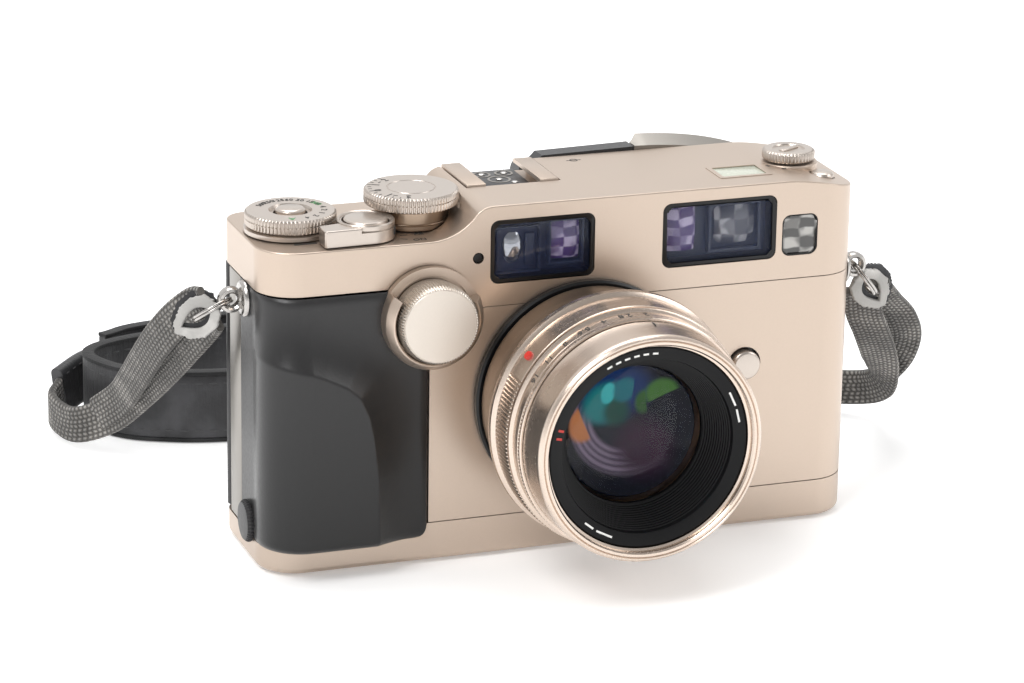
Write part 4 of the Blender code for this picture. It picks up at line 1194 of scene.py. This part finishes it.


# Painted reflections on the inner lens element: each patch is a coloured reflection painted into the glass's
# colour.
LENS_REFLECTION_PATCHES = (
    ((0.034, 0.008, 0.024), 4.0, -5.0, 9.0, 1.0, 0.3, (0, 30)),
    ((0.008, 0.030, 0.12), -3.0, 8.4, 8.5, 0.8, 0.5, (-70, 2.4)),
    ((0.55, 0.20, 0.07), -9.8, 2.2, 5.0, 1.1, 0.7, (25, -7.8)),
    ((0.008, 0.20, 0.21), -5.0, 6.0, 6.2, 0.9, 0.55, (-15, -3.0)),
    ((0.010, 0.07, 0.05), -2.0, 3.6, 4.6, 1.1, 0.4, (10, 2.4)),
    ((0.04, 0.46, 0.48), -4.4, 8.2, 3.0, 1.5, 0.7, (-30, -5.4)),
    ((0.015, 0.16, 0.20), -0.6, 8.6, 3.8, 1.2, 0.55, (0, 1.6)),
    ((0.03, 0.10, 0.02), 4.0, 5.4, 3.6, 1.5, 0.5, (10, 5.6)),
    ((0.06, 0.17, 0.03), 7.6, 7.4, 4.2, 1.0, 0.6, (-60, -1.6)),
)
# Painted reflection: faint coloured rings on the lower left of the inner element.
LENS_REFLECTION_ARCS = ((0.24, 0.18, 0.26), 0.5, 3.4, 800.0, 8.0, 14.5)


def make_lens_glass():
    wide, steps = 15.1, 14
    dome = [(wide * i / steps, 48.9 - 3.9 * (i / steps) ** 2) for i in range(steps + 1)]
    back = [(wide * i / steps, 47.0 - 2.8 * (i / steps) ** 2) for i in range(steps)]
    dome += [(wide, 44.4)] + back[::-1]
    lens_piece("front_element", dome, "front glass", replaces=["front_element"], segments=96)
    wide, steps = 14.6, 16
    bowl = [(wide * i / steps, 40.2 + 3.6 * (i / steps) ** 2) for i in range(steps + 1)]
    bowl += [(14.9, 43.4), (14.9, 39.0), (0, 39.0)]
    lens_piece("inner_element", bowl, "inner glass", segments=96)


# Windows


def window(side, inner):
    """A black frame with a clear pane, what sits behind it, and a dark blue sheet at the back: painted shade
    inside the window, tinted the blue of the glass.
    """
    low_x, high_x, low_z, high_z = WINDOWS[side]
    outer = rounded(low_x + 0.1, high_x - 0.1, low_z + 0.1, high_z - 0.1, 1.8)
    opening = rounded(low_x + 1.05, high_x - 1.05, low_z + 1.05, high_z - 1.05, 1.1)
    ring = prism(outer, 11.9, 15.95, "front", hole=opening)
    soften(ring, lambda e: both(e, lambda co: near(co.y, -15.95)), 0.25, 2)
    piece("window_frame_" + side, ring, "black enamel", replaces=["window_frame_" + side], sharp=30)
    pane = prism(rounded(low_x + 1.1, high_x - 1.1, low_z + 1.1, high_z - 1.1, 1.0), 15.0, 15.5, "front")
    piece("window_glass_" + side, pane, "window glass", replaces=["window_glass_" + side])
    # Painted shade: a dark blue sheet behind the window's optics stands for the dark inside, tinted like the
    # glass.
    shade_sheet = block((low_x + 1.2, -12.4, low_z + 1.2), (high_x - 1.2, -11.9, high_z - 1.2))
    piece("window_well_" + side, shade_sheet, "window blue")
    for name, shape, material in inner:
        piece(name, shape, material)


def small_frame(low_x, high_x, low_z, high_z, front, deep, wall=0.45):
    outer = [(low_x, low_z), (high_x, low_z), (high_x, high_z), (low_x, high_z)]
    inner = [(low_x + wall, low_z + wall), (high_x - wall, low_z + wall), (high_x - wall, high_z - wall),
             (low_x + wall, high_z - wall)]
    return prism(outer, front - deep, front, "front", hole=inner)


def curved_mirror(low_x, high_x, low_z, high_z, depth, bulge, steps=14):
    """A mirror bent about an upright axis."""
    shape = bmesh.new()
    bmesh.ops.create_grid(shape, x_segments=steps, y_segments=steps, size=0.5)
    for vert in shape.verts:
        u, v = vert.co.x, vert.co.y
        vert.co = (low_x + (high_x - low_x) * (u + 0.5), -depth + bulge * (u * u + v * v) * 4,
                   low_z + (high_z - low_z) * (v + 0.5))
    bmesh.ops.recalc_face_normals(shape, faces=shape.faces)
    if sum(face.normal.y for face in shape.faces) > 0:
        bmesh.ops.reverse_faces(shape, faces=shape.faces)
    bmesh.ops.solidify(shape, geom=shape.faces[:], thickness=0.4)
    return shape


class CAMERA_OT_windows(bpy.types.Operator):
    """Glazes the finder, the rangefinder and the meter windows"""

    bl_idname = "object.camera_windows"
    bl_label = "Windows"

    def execute(self, context):
        window("left", (
            ("meter_cell_frame", small_frame(-16.4, -6.4, 64.0, 74.4, 14.0, 1.4, 0.35), "window frame"),
            ("meter_cell", curved_mirror(-14.6, -10.0, 66.0, 72.8, 13.4, 0.9), "mirror"),
            ("meter_cell_shade", block((-9.6, -13.2, 65.4), (-7.4, -12.4, 72.6), 0.3, 2), "window frame"),
            ("left_prism_frame", small_frame(-4.6, 3.4, 65.4, 75.4, 14.5, 2.0, 0.4), "window frame"),
            ("left_prism", curved_mirror(-3.8, 2.6, 66.4, 75.0, 14.2, 0.6), "violet coating"),
        ))
        window("right", (
            ("right_prism", curved_mirror(23.0, 29.6, 65.6, 75.9, 14.2, 0.6), "violet coating"),
            ("finder_frame", small_frame(32.6, 44.8, 64.8, 75.8, 14.4, 1.8, 0.5), "window frame"),
            ("finder_lens", curved_mirror(34.4, 43.8, 66.2, 75.2, 14.2, 1.2), "finder glass"),
        ))
        low_x, high_x, low_z, high_z = WINDOWS["meter"]
        pane = prism(rounded(low_x + 0.3, high_x - 0.3, low_z + 0.3, high_z - 0.3, 1.5), 13.8, 15.6, "front")
        soften(pane, lambda e: both(e, lambda co: near(co.y, -15.6)), 0.5, 3)
        piece("meter_window", pane, "meter cell", replaces=["meter_window"])
        edge = prism(rounded(low_x + 0.05, high_x - 0.05, low_z + 0.05, high_z - 0.05, 1.8), 12.0, 15.85,
                     "front",
                     hole=rounded(low_x + 0.32, high_x - 0.32, low_z + 0.32, high_z - 0.32, 1.5))
        piece("meter_window_edge", edge, "black enamel")
        return {"FINISHED"}


def checked_glass(name, dark, light, columns, rows, rough=0.08):
    """Coated glass behind a lattice: soft light and dark squares, so many to a metre each way."""
    made = Finish(name, IOR=1.5, Coat_Weight=0.5, Coat_Roughness=0.03)
    where = made.place()
    swirl = made.noise(170, 2.0)
    upright = (made.part(where, 0) + swirl * 0.0022).wave(columns).ramp(0.35, 0.65)
    level = (made.part(where, 2) + swirl * 0.0022).wave(rows).ramp(0.35, 0.65)
    squares = upright + level - upright * level * 2
    lit = made.noise(260, 1.0).ramp(0.42, 0.6)
    return made.set(Base_Color=made.mix(squares * (lit * 0.75 + 0.25), dark, light),
                    Roughness=swirl * 0.05 + rough)


# Controls on the top


def dial_numbers(name, texts, centre, radius, height, body, start, step, size, material="engraving"):
    """Numbers round a dial's face, from the start angle on, a step of so many degrees apart."""
    marks = [lettering(text, size, on_ring(centre, radius, start + step * i, height))
             for i, text in enumerate(texts) if text]
    return piece(name, gather(*marks), material, body)


class CAMERA_OT_top_controls(bpy.types.Operator):
    """Makes the dials, the release, the power lever and the buttons on the top"""

    bl_idname = "object.camera_top_controls"
    bl_label = "Top controls"

    def execute(self, context):
        cut = sizes().knurl_depth / MM
        make_shutter_dial(cut)
        make_release()
        make_exposure_dial(cut)
        make_drive_controls(cut)
        return {"FINISHED"}


def two_row_knurl(radius, top, low, cut):
    """Rows of a dial's rim: two bands of teeth with a plain groove between."""
    middle = (top + low) / 2
    return [(radius - 0.45, top), (radius - 0.05, top - 0.35, cut), (radius, top - 0.5, cut),
            (radius, middle + 0.14, cut), (radius - 0.3, middle), (radius, middle - 0.14, cut),
            (radius, low + 0.3, cut), (radius - 0.3, low)]


def make_shutter_dial(cut):
    (x, y), radius = SHUTTER_DIAL, 9.9
    rim = two_row_knurl(radius, 77.9, 74.9, cut)
    dish = [(3.7, 77.2), (4.4, 77.2), (4.7, 77.9)]
    base = [(radius - 0.9, 74.6), (radius + 0.2, 74.4), (radius + 0.2, 73.5), (3.7, 73.5)]
    piece("shutter_dial", turned(dish + rim + base, (x, y, 0), teeth=72), "dial metal", "shutter_dial",
          ["shutter_dial"])
    speeds = ("", "4", "2", "1", "2", "4", "8", "15", "30", "60", "125", "250", "500", "", "", "")
    dial_numbers("shutter_numbers", speeds, (x, y), 7.2, 77.93, "shutter_dial", -95, 19, 1.9)
    dial_numbers("shutter_auto_mark", ("A",), (x, y), 7.2, 77.93, "shutter_dial", -103, 1, 2.3, "green mark")
    dial_numbers("shutter_sync_mark", ("200",), (x, y), 7.2, 77.93, "shutter_dial", 24, 1, 1.9, "green mark")
    button = turned([(0, 78.35), (2.5, 78.4), (2.9, 78.25), (3.2, 77.9), (3.3, 75.2), (0, 75.2)], (x, y, 0),
                    segments=48)
    piece("dial_lock_button", button, "dial metal", "dial_lock", ["dial_lock_button"])


def make_release():
    (x, y), radius = RELEASE, 6.3
    plan = [(-10.9, -6.2), (-10.5, -6.6), (0, -radius)] + arc((0, 0), radius, -88, 188,
                                                              60) + [(-10.6, -1.6), (-10.9, -1.9)]
    lever = prism(plan, 73.5, 77.1, place=(x, y, 0))
    soften(lever, lambda e: both(e, lambda co: near(co.z, 77.1)), 0.35, 3)
    lever = carve(lever, block((x - 2.8, y - 9, 76.0), (x + 9, y + 9, 80)))
    rim = turned([(5.2, 76.8), (5.6, 77.3), (6.0, 77.5), (6.25, 77.2), (6.25, 76.3), (6.0, 76.1),
                  (6.0, 75.6), (5.2, 75.6)], (x, y, 0), segments=96)
    lever = carve(lever, drum(5.2, 75.2, 90, (x, y, 0), segments=96))
    lever = carve(lever, rim, operation="UNION")
    piece("power_lever", lever, "dial metal", "power_lever", ["power_lever"], level=True)
    notch = prism([(6.1, -0.6), (6.42, -0.6), (6.42, 0.6), (6.1, 0.6)], 74.2, 75.9)
    notch.transform(Matrix.Translation((x, y, 0)) @ Matrix.Rotation(math.radians(-27), 4, "Z"))
    piece("lever_index", notch, "engraving", "power_lever")
    button = turned([(0, 77.5), (4.2, 77.6), (4.55, 77.5), (4.75, 77.25), (4.8, 76.6), (0, 76.6)],
                    (x, y, 0), segments=72)
    piece("shutter_button", button, "dial metal", "shutter_button", ["shutter_button"])
    spots = [dash(0.28, 1.6, on_ring((x, y), 8.3, angle, 73.22)) for angle in (-27, -7, 13)]
    piece("lever_marks", gather(*spots), "engraving")
    letters = [lettering(text, 1.9, Matrix.Translation((x + px, y + py, 73.24))) for text, px, py in
               (("ON", 10.6, -5.0), ("AE", 11.6, -1.0))]
    piece("lever_numbers", gather(*letters), "engraving")


def make_exposure_dial(cut):
    (x, y), radius = EXPOSURE_DIAL, 10.3
    rim = two_row_knurl(radius, 81.2, 78.0, cut)
    groove = [(0, 81.2), (5.0, 81.2), (5.1, 81.05), (5.3, 81.05), (5.4, 81.2)]
    shape = turned(groove + rim + [(9.0, 77.8), (0, 77.8)], (x, y, 0), teeth=76)
    piece("exposure_dial", shape, "dial metal", "exposure_dial", ["exposure_dial"])
    dial_numbers("exposure_numbers", ("2", "1", "0", "1", "2"), (x, y), 7.6, 81.23, "exposure_dial", 120,
                 32, 2.3)
    ticks = [dash(0.16, 0.8 if i % 3 else 1.3, on_ring((x, y), 9.0, 120 + 10.667 * i,
                                                       81.22)) for i in range(13)]
    ticks += [dash(1.0, 0.2, on_ring((x, y), 7.6, 136 + 90 * i, 81.22)) for i in range(2)]
    piece("exposure_ticks", gather(*ticks), "engraving", "exposure_dial")
    collar = [(0, 77.5), (7.6, 77.5), (7.9, 77.3), (7.95, 75.0), (7.8, 74.8), (7.95, 74.6), (8.2, 74.5),
              (8.2, 73.7), (8.05, 73.5), (0, 73.5)]
    piece("bracket_ring", turned(collar, (x, y, 0), segments=120), "bronze base", "bracket_ring",
          ["bracket_ring"])


def make_drive_controls(cut):
    x, y = DRIVE_DIAL
    dial = [(0, 82.3), (3.4, 82.3), (3.6, 82.6), (5.3, 82.6), (5.75, 82.35, cut * 0.8),
            (5.9, 82.1, cut * 0.8), (5.9, 80.7, cut * 0.8), (5.6, 80.4), (0, 80.4)]
    piece("drive_dial", turned(dial, (x, y, 0), teeth=44), "dial metal", "drive_dial", ["drive_dial"])
    bar = block((-2.9, -0.7, 82.2), (2.9, 0.7, 82.75), 0.3, 2)
    bar.transform(Matrix.Translation((x, y, 0)) @ Matrix.Rotation(math.radians(30), 4, "Z"))
    piece("drive_dial_bar", bar, "dial metal", "drive_dial")
    icons = [dash(1.0, 0.7, on_ring((x, y), 7.6, angle, 79.98)) for angle in (-150, -120)]
    piece("drive_marks", gather(*icons), "engraving")
    oval = turned([(0, 79.3), (1.7, 79.2), (2.3, 78.95), (2.6, 78.5), (2.6, 76.8), (0, 76.8)], MODE_BUTTON,
                  segments=48)
    piece("mode_button", oval, "dial metal", "mode_button", ["mode_button"])
    screen = block((37.8, -9.0, 79.3), (48.7, -1.2, 79.85), 0.15, 2)
    piece("lcd_window", screen, "display", replaces=["lcd_window"])
    rim = prism(rounded(37.0, 49.5, -9.8, -0.4, 0.6), 79.9, 80.12, hole=rounded(38.1, 48.4, -8.7, -1.5, 0.4))
    piece("display_rim", rim, "titanium")
    film_plane = [prism(arc((11.2, 13.6), 0.95, 0, 345, 30), 79.99, 80.03,
                        hole=arc((11.2, 13.6), 0.72, 0, 345, 30)),
                  dash(3.4, 0.2, Matrix.Translation((11.2, 13.6, 80.02)))]
    piece("film_plane_mark", gather(*film_plane), "engraving")
    slot = prism(rounded(-60.4, -55.2, -9.9, -9.1, 0.4), 73.16, 73.26)
    piece("dial_index", slot, "engraving")


class CAMERA_OT_shoe(bpy.types.Operator):
    """Makes the accessory shoe and its contacts"""

    bl_idname = "object.camera_shoe"
    bl_label = "Accessory shoe"

    def execute(self, context):
        shoe = block((-18.4, -0.2, 76.7), (2.6, 17.8, 80.4))
        soften(shoe, lambda e: abs(e.verts[0].co.z - e.verts[1].co.z) < 0.01 and e.verts[0].co.z > 80, 0.25,
               2)
        shoe = carve(shoe, block((-17.3, -2.0, 77.5), (1.5, 20.0, 79.5)),
                     block((-14.2, -2.0, 77.5), (-1.6, 20.0, 90)))
        piece("accessory_shoe", shoe, "titanium", replaces=["accessory_shoe"])
        springs = [block((x, 0.8, 79.1), (x + 2.2, 15.0, 79.45), 0.1, 1) for x in (-17.0, -1.0)]
        piece("shoe_springs", gather(*springs), "steel")
        plate = block((-13.6, 1.0, 77.8), (-2.2, 16.5, 78.35), 0.12, 2)
        piece("shoe_contacts", plate, "dark plastic", replaces=["shoe_contacts"])
        tracks = [turned([(r + 0.5, 78.42), (r + 0.5, 78.3), (r, 78.3), (r, 78.42)], (px, py, 0), segments=40)
                  for px, py, r in ((-7.9, 9.0, 2.1), (-10.5, 13.5, 1.6), (-5.3, 13.5, 1.6))]
        piece("contact_rings", gather(*tracks), "hump metal")
        pins = [turned([(0, 78.7), (0.5, 78.65), (0.75, 78.5), (0.75, 78.0), (0, 78.0)], (px, py, 0),
                       segments=28)
                for px, py in ((-7.9, 9.0), (-10.5, 13.5), (-5.3, 13.5), (-5.3, 6.0))]
        screws = [turned([(0, 78.5), (0.8, 78.45), (0.9, 78.3), (0.9, 78.0), (0, 78.0)], (px, 3.4, 0),
                         segments=20)
                  for px in (-11.6, -4.2)]
        piece("contact_pins", gather(*pins, *screws), "steel")
        return {"FINISHED"}


# Controls on the front


class CAMERA_OT_front_controls(bpy.types.Operator):
    """Makes the focus dial, its housing and the lens release"""

    bl_idname = "object.camera_front_controls"
    bl_label = "Front controls"

    def execute(self, context):
        (x, z), radius = FOCUS_DIAL, 11.1
        profile = [(0, 16.9), (9.6, 16.9), (9.8, 17.6), (10.1, 17.8), (10.9, 17.5), (radius, 17.2),
                   (radius, 16.3), (0, 16.3)]
        plate = turned(profile, (x, 0, z), "front", 120)
        lip = [(9.25, 22.2), (9.5, 22.4), (9.9, 22.2), (10.9, 20.6), (radius, 20.2), (radius, 16.4),
               (9.25, 16.4)]
        wall = turned(lip, (x, 0, z), "front", 120)
        wedge = [(x, z)] + arc((x, z), 30, 24, 146, 24)
        wall = carve(wall, prism(wedge, 17.9, 40, "front"))
        housing = carve(plate, wall, operation="UNION")
        piece("focus_dial_housing", housing, "titanium", replaces=["focus_dial_housing"], level=True)
        cut = sizes().knurl_depth / MM
        dial = [(0, 24.7), (7.9, 24.7), (8.0, 24.55), (8.15, 24.55), (8.3, 24.6, cut * 0.6), (8.6, 24.2, cut),
                (8.8, 23.4, cut), (8.8, 20.2, cut), (8.7, 19.4), (8.4, 17.2), (0, 17.2)]
        piece("focus_dial", turned(dial, (x, 0, z), "front", teeth=84), "cap metal", "focus_dial",
              ["focus_dial"])
        x, z = LENS_RELEASE
        button = [(0, 17.7), (2.7, 17.8), (3.0, 17.7), (3.25, 17.4), (3.3, 17.0), (3.3, 14.6), (0, 14.6)]
        piece("lens_release_button", turned(button, (x, 0, z), "front", 64), "dial metal", "lens_release",
              ["lens_release_button"])
        return {"FINISHED"}


# Strap fittings


LUGS = {
    "left": ((-SIDE, -1.0, 59.6), -1, (-0.77, 0.35, -0.53)),
    "right": ((SIDE, -5.0, 56.0), 1, (0.60, 0.15, -0.78)),
}
RING_RADIUS = 4.6
EYE_REACH = 3.3


def coil(centre, away, normal):
    """A split ring: two turns of wire lying side by side."""
    rings = []
    for lift in (-0.32, 0.32):
        ring = bmesh.new()
        wire = bmesh.ops.create_circle(ring, segments=14, radius=0.32, cap_ends=False)["verts"]
        bmesh.ops.rotate(ring, verts=wire, cent=(0, 0, 0), matrix=Matrix.Rotation(math.pi / 2, 3, "X"))
        bmesh.ops.translate(ring, verts=wire, vec=(RING_RADIUS, 0, lift))
        bmesh.ops.spin(ring, geom=ring.verts[:] + ring.edges[:], cent=(0, 0, 0), axis=(0, 0, 1),
                       angle=FULL_TURN, steps=72, use_merge=True)
        bmesh.ops.remove_doubles(ring, verts=ring.verts, dist=1e-4)
        bmesh.ops.recalc_face_normals(ring, faces=ring.faces)
        rings.append(ring)
    whole = gather(*rings)
    across = normal.cross(away)
    whole.transform(Matrix.Translation(centre) @ across.to_track_quat("Z", "Y").to_matrix().to_4x4())
    return whole


class CAMERA_OT_strap_fittings(bpy.types.Operator):
    """Makes the strap lugs, split rings and ring guards"""

    bl_idname = "object.camera_strap_fittings"
    bl_label = "Strap fittings"

    def execute(self, context):
        for side, (place, outward, away) in LUGS.items():
            place, away = Vector(place), Vector(away).normalized()
            direction = "right" if outward > 0 else "left"
            pad = turned([(0, 1.3), (3.2, 1.3), (3.6, 1.15), (3.9, 0.8), (4.0, 0.3), (0, 0.3)], place,
                         direction, 64)
            eye = place + Vector((outward * EYE_REACH, 0, 0))
            loop = turned([(2.0, 1.35), (2.6, 1.2), (2.85, 0.7), (2.85, -0.7), (2.6, -1.2), (2.0, -1.35),
                           (1.6, -0.9), (1.45, 0), (1.6, 0.9)], eye, "front", 48)
            piece("strap_lug_" + side, carve(pad, loop, operation="UNION"), "steel",
                  replaces=["strap_lug_" + side])
            toward_front = Vector((-0.32, -0.89, 0.31))
            normal = (toward_front - away * toward_front.dot(away)).normalized()
            centre = eye + away * RING_RADIUS
            piece("split_ring_" + side, coil(centre, away, normal), "steel", replaces=["split_ring_" + side])
            make_guard(side, centre + away * 3.4, away, normal)
        return {"FINISHED"}


GUARD_OUTLINE = ((-5.3, -1.9), (-3.7, -4.2), (-0.4, -5.0), (3.0, -4.3), (6.4, -1.6), (7.0, 0.6), (4.3, 3.6),
                 (1.0, 4.9), (-2.8, 4.3), (-5.1, 2.0))


def ragged(outline, step, amount):
    """The outline with a fibrous, uneven edge."""
    points = []
    for (u0, v0), (u1, v1) in zip(outline, outline[1:] + outline[:1]):
        count = max(1, round(math.hypot(u1 - u0, v1 - v0) / step))
        for i in range(count):
            u, v = u0 + (u1 - u0) * i / count, v0 + (v1 - v0) * i / count
            wobble = math.sin(u * 7.3 + v * 3.1) + math.sin(v * 9.7 - u * 2.3) * 0.8
            wobble += math.sin((u + v) * 17.0) * 0.5
            swell = 1 + amount * wobble / math.hypot(u, v)
            points.append((u * swell, v * swell))
    return points


def make_guard(side, middle, away, normal):
    """A worn leather guard with a leaf-shaped slit that the ring passes through, and its dark backing."""
    across = normal.cross(away)
    turn = Matrix((away, across, normal)).transposed().to_4x4()
    for name, grow, low, high, material, stands in (
        ("ring_guard_", 0.0, -0.2, 0.9, "guard", ["ring_guard_" + side]),
        ("guard_backing_", 0.35, -0.95, -0.2, "leather", []),
    ):
        size = 0.9 + grow * 0.13
        outline = ragged([(u * size, v * size) for u, v in GUARD_OUTLINE], 0.45, 0.1)
        leaf = bend((-3.0, 0.0), (-0.6, 4.2), (4.4, 0.0), 12)
        slit = leaf + [(u, -v) for u, v in reversed(leaf[1:-1])]
        shape = prism(outline, low, high, hole=slit)
        if name == "ring_guard_":
            soften(shape, lambda e: both(e, lambda co: near(co.z, 0.9)), 0.3, 3)
        lift = across * (1.1 if material == "leather" else 0.0) * (-1 if across.z < 0 else 1)
        shape.transform(Matrix.Translation(middle + lift) @ turn)
        piece(name + side, shape, material, replaces=stands)


# Back of the camera


class CAMERA_OT_back(bpy.types.Operator):
    """Makes the rear door, its latch, the viewfinder's eyepiece and the diopter wheel"""

    bl_idname = "object.camera_back"
    bl_label = "Back"

    def execute(self, context):
        low, high = GRIP_LOW + GAP, GRIP_HIGH - GAP
        edge = arc((66.8, 16.4), 1.6, 0, 90, 8)
        outline = [(-62.8, 15.2), (68.4, 15.2), (68.4, 16.4)] + edge[1:] + [(-62.8, BACK)]
        door = prism(outline, low, high)
        soften(door, lambda e: both(e, lambda co: co.y > 17.9), 0.4, 3)
        web = block((-66.2, 15.3, low), (-62, 17.4, high))
        knuckle = drum(2.2, low, high, (-66.2, 15.4, 0), segments=48)
        recess = prism(rounded(30, 56, 20, 50, 2.0), -19, -17.4, "front")
        door = carve(carve(door, knuckle, web, operation="UNION"), recess)
        piece("rear_door", door, "door finish", "rear_door", ["rear_door"], level=True)
        thumb = block((-58, 17.0, 26), (-34, 20.2, 54), 2.6, 5)
        piece("thumb_pad", thumb, "grip rubber", "rear_door")
        pane = prism(rounded(32, 38, 22, 48, 1.0), -18.1, -17.3, "front")
        piece("film_window", pane, "meter glass", "rear_door")
        holder = prism(rounded(40, 55, 21, 49, 1.4), -17.95, -17.35, "front",
                       hole=rounded(41, 54, 22, 48, 0.8))
        piece("memo_holder", holder, "dark plastic", "rear_door")
        plate = block((LENS_X - 27, 12.6, LENS_Z - 17), (LENS_X + 27, 13.6, LENS_Z + 17), 0.3, 2)
        spring = block((LENS_X - 12, 13.5, LENS_Z - 4), (LENS_X + 12, 15.1, LENS_Z + 4), 0.3, 2)
        piece("pressure_plate", gather(plate, spring), "black enamel", "rear_door", ["pressure_plate"])
        latch = block((69.0, 3.0, 27), (70.3, 8.0, 37), 0.35, 3)
        ribs = [block((70.1, 3.6, 28.4 + 1.4 * i), (70.55, 7.4, 29.1 + 1.4 * i), 0.1, 1) for i in range(6)]
        piece("door_latch", gather(latch, *ribs), "black enamel", "door_latch", ["door_latch"])
        make_eyepiece()
        return {"FINISHED"}


def make_eyepiece():
    near_face, far_face = -(BACK + GAP), -(BACK + GAP + 4.6)
    frame_outline = [(3.6, 65.0), (27.4, 65.0), (27.4, 80.7), (5.6, 80.3), (3.6, 79.0)]
    housing = prism(frame_outline, far_face, near_face, "front")
    soften(housing, lambda e: both(e, lambda co: co.y > 22.8), 0.9, 4)
    housing = carve(housing, prism(rounded(9.0, 25.0, 67.5, 77.5, 2.0), -30, 0, "front"))
    piece("finder_housing", housing, "dark plastic", replaces=["finder_housing"], level=True)
    hump_outline = [(27.6, 65.0), (54.5, 65.0), (55.4, 75.4)]
    hump_outline += bend((54.0, 76.6), (43.0, 80.6), (27.6, 80.8), 18)
    hump = prism(hump_outline, far_face, near_face, "front")
    soften(hump, lambda e: both(e, lambda co: co.y > 22.8), 1.6, 5)
    # Painted shade: the hump's metal is the titanium painted darker.
    piece("finder_hump", hump, "hump metal", level=True)
    cup = prism(rounded(7.2, 26.8, 65.9, 79.1, 3.0), -23.9, -22.8, "front",
                hole=rounded(9.0, 25.0, 67.5, 77.5, 2.0))
    piece("eye_cup", cup, "grip rubber")
    pane = prism(rounded(9.3, 24.7, 67.8, 77.2, 1.8), -20.1, -18.9, "front")
    piece("eyepiece_glass", pane, "window glass", replaces=["eyepiece_glass"])
    wheel = [(0, 2.4), (3.5, 2.4), (3.8, 2.2, 0.25), (4.0, 2.0, 0.25), (4.0, 0.4, 0.25), (3.7, 0.1), (0, 0)]
    piece("diopter_wheel", turned(wheel, (0.6, 22.6, 74.5), "right", teeth=30), "grip rubber",
          "diopter_wheel",
          ["diopter_wheel"])


# Inside


class CAMERA_OT_insides(bpy.types.Operator):
    """Gives the parts inside the body their finishes"""

    bl_idname = "object.camera_insides"
    bl_label = "Insides"

    def execute(self, context):
        wanted = {
            "cast alloy": ("chassis",),
            "black enamel": ("shutter_unit", "iris_diaphragm", "rear_group", "rangefinder_module"),
            "dark plastic": ("take_up_spool",),
            "steel": ("rewind_fork", "battery_cell"),
            "window blue": ("finder_objective",),
        }
        for material, names in wanted.items():
            for name in names:
                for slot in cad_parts[name].material_slots:
                    slot.material = finish(material)
        return {"FINISHED"}


OPERATORS = (
    CAMERA_OT_stage,
    CAMERA_OT_strap,
    CAMERA_OT_body,
    CAMERA_OT_grip,
    CAMERA_OT_lens,
    CAMERA_OT_windows,
    CAMERA_OT_top_controls,
    CAMERA_OT_shoe,
    CAMERA_OT_front_controls,
    CAMERA_OT_strap_fittings,
    CAMERA_OT_back,
    CAMERA_OT_insides,
)


def main():
    register()
    for operator in OPERATORS:
        area, name = operator.bl_idname.split(".")
        getattr(getattr(bpy.ops, area), name)()


class VIEW3D_PT_camera(bpy.types.Panel):
    """Lists the camera's pieces and their sizes and colours"""

    bl_label = "Rangefinder camera"
    bl_space_type = "VIEW_3D"
    bl_region_type = "UI"
    bl_category = "Camera"

    def draw(self, context):
        for group in (context.scene.camera_sizes, context.scene.camera_colours):
            box = self.layout.box()
            for name in group.__annotations__:
                box.prop(group, name)
        for operator in OPERATORS:
            self.layout.operator(operator.bl_idname, text=operator.bl_label)


GROUPS = (CameraSizes, CameraColours)


def register():
    for made in GROUPS + OPERATORS + (VIEW3D_PT_camera,):
        bpy.utils.register_class(made)
    bpy.types.Scene.camera_sizes = bpy.props.PointerProperty(type=CameraSizes)
    bpy.types.Scene.camera_colours = bpy.props.PointerProperty(type=CameraColours)


def unregister():
    del bpy.types.Scene.camera_colours
    del bpy.types.Scene.camera_sizes
    for made in reversed(GROUPS + OPERATORS + (VIEW3D_PT_camera,)):
        bpy.utils.unregister_class(made)


if __name__ == "__main__":
    main()
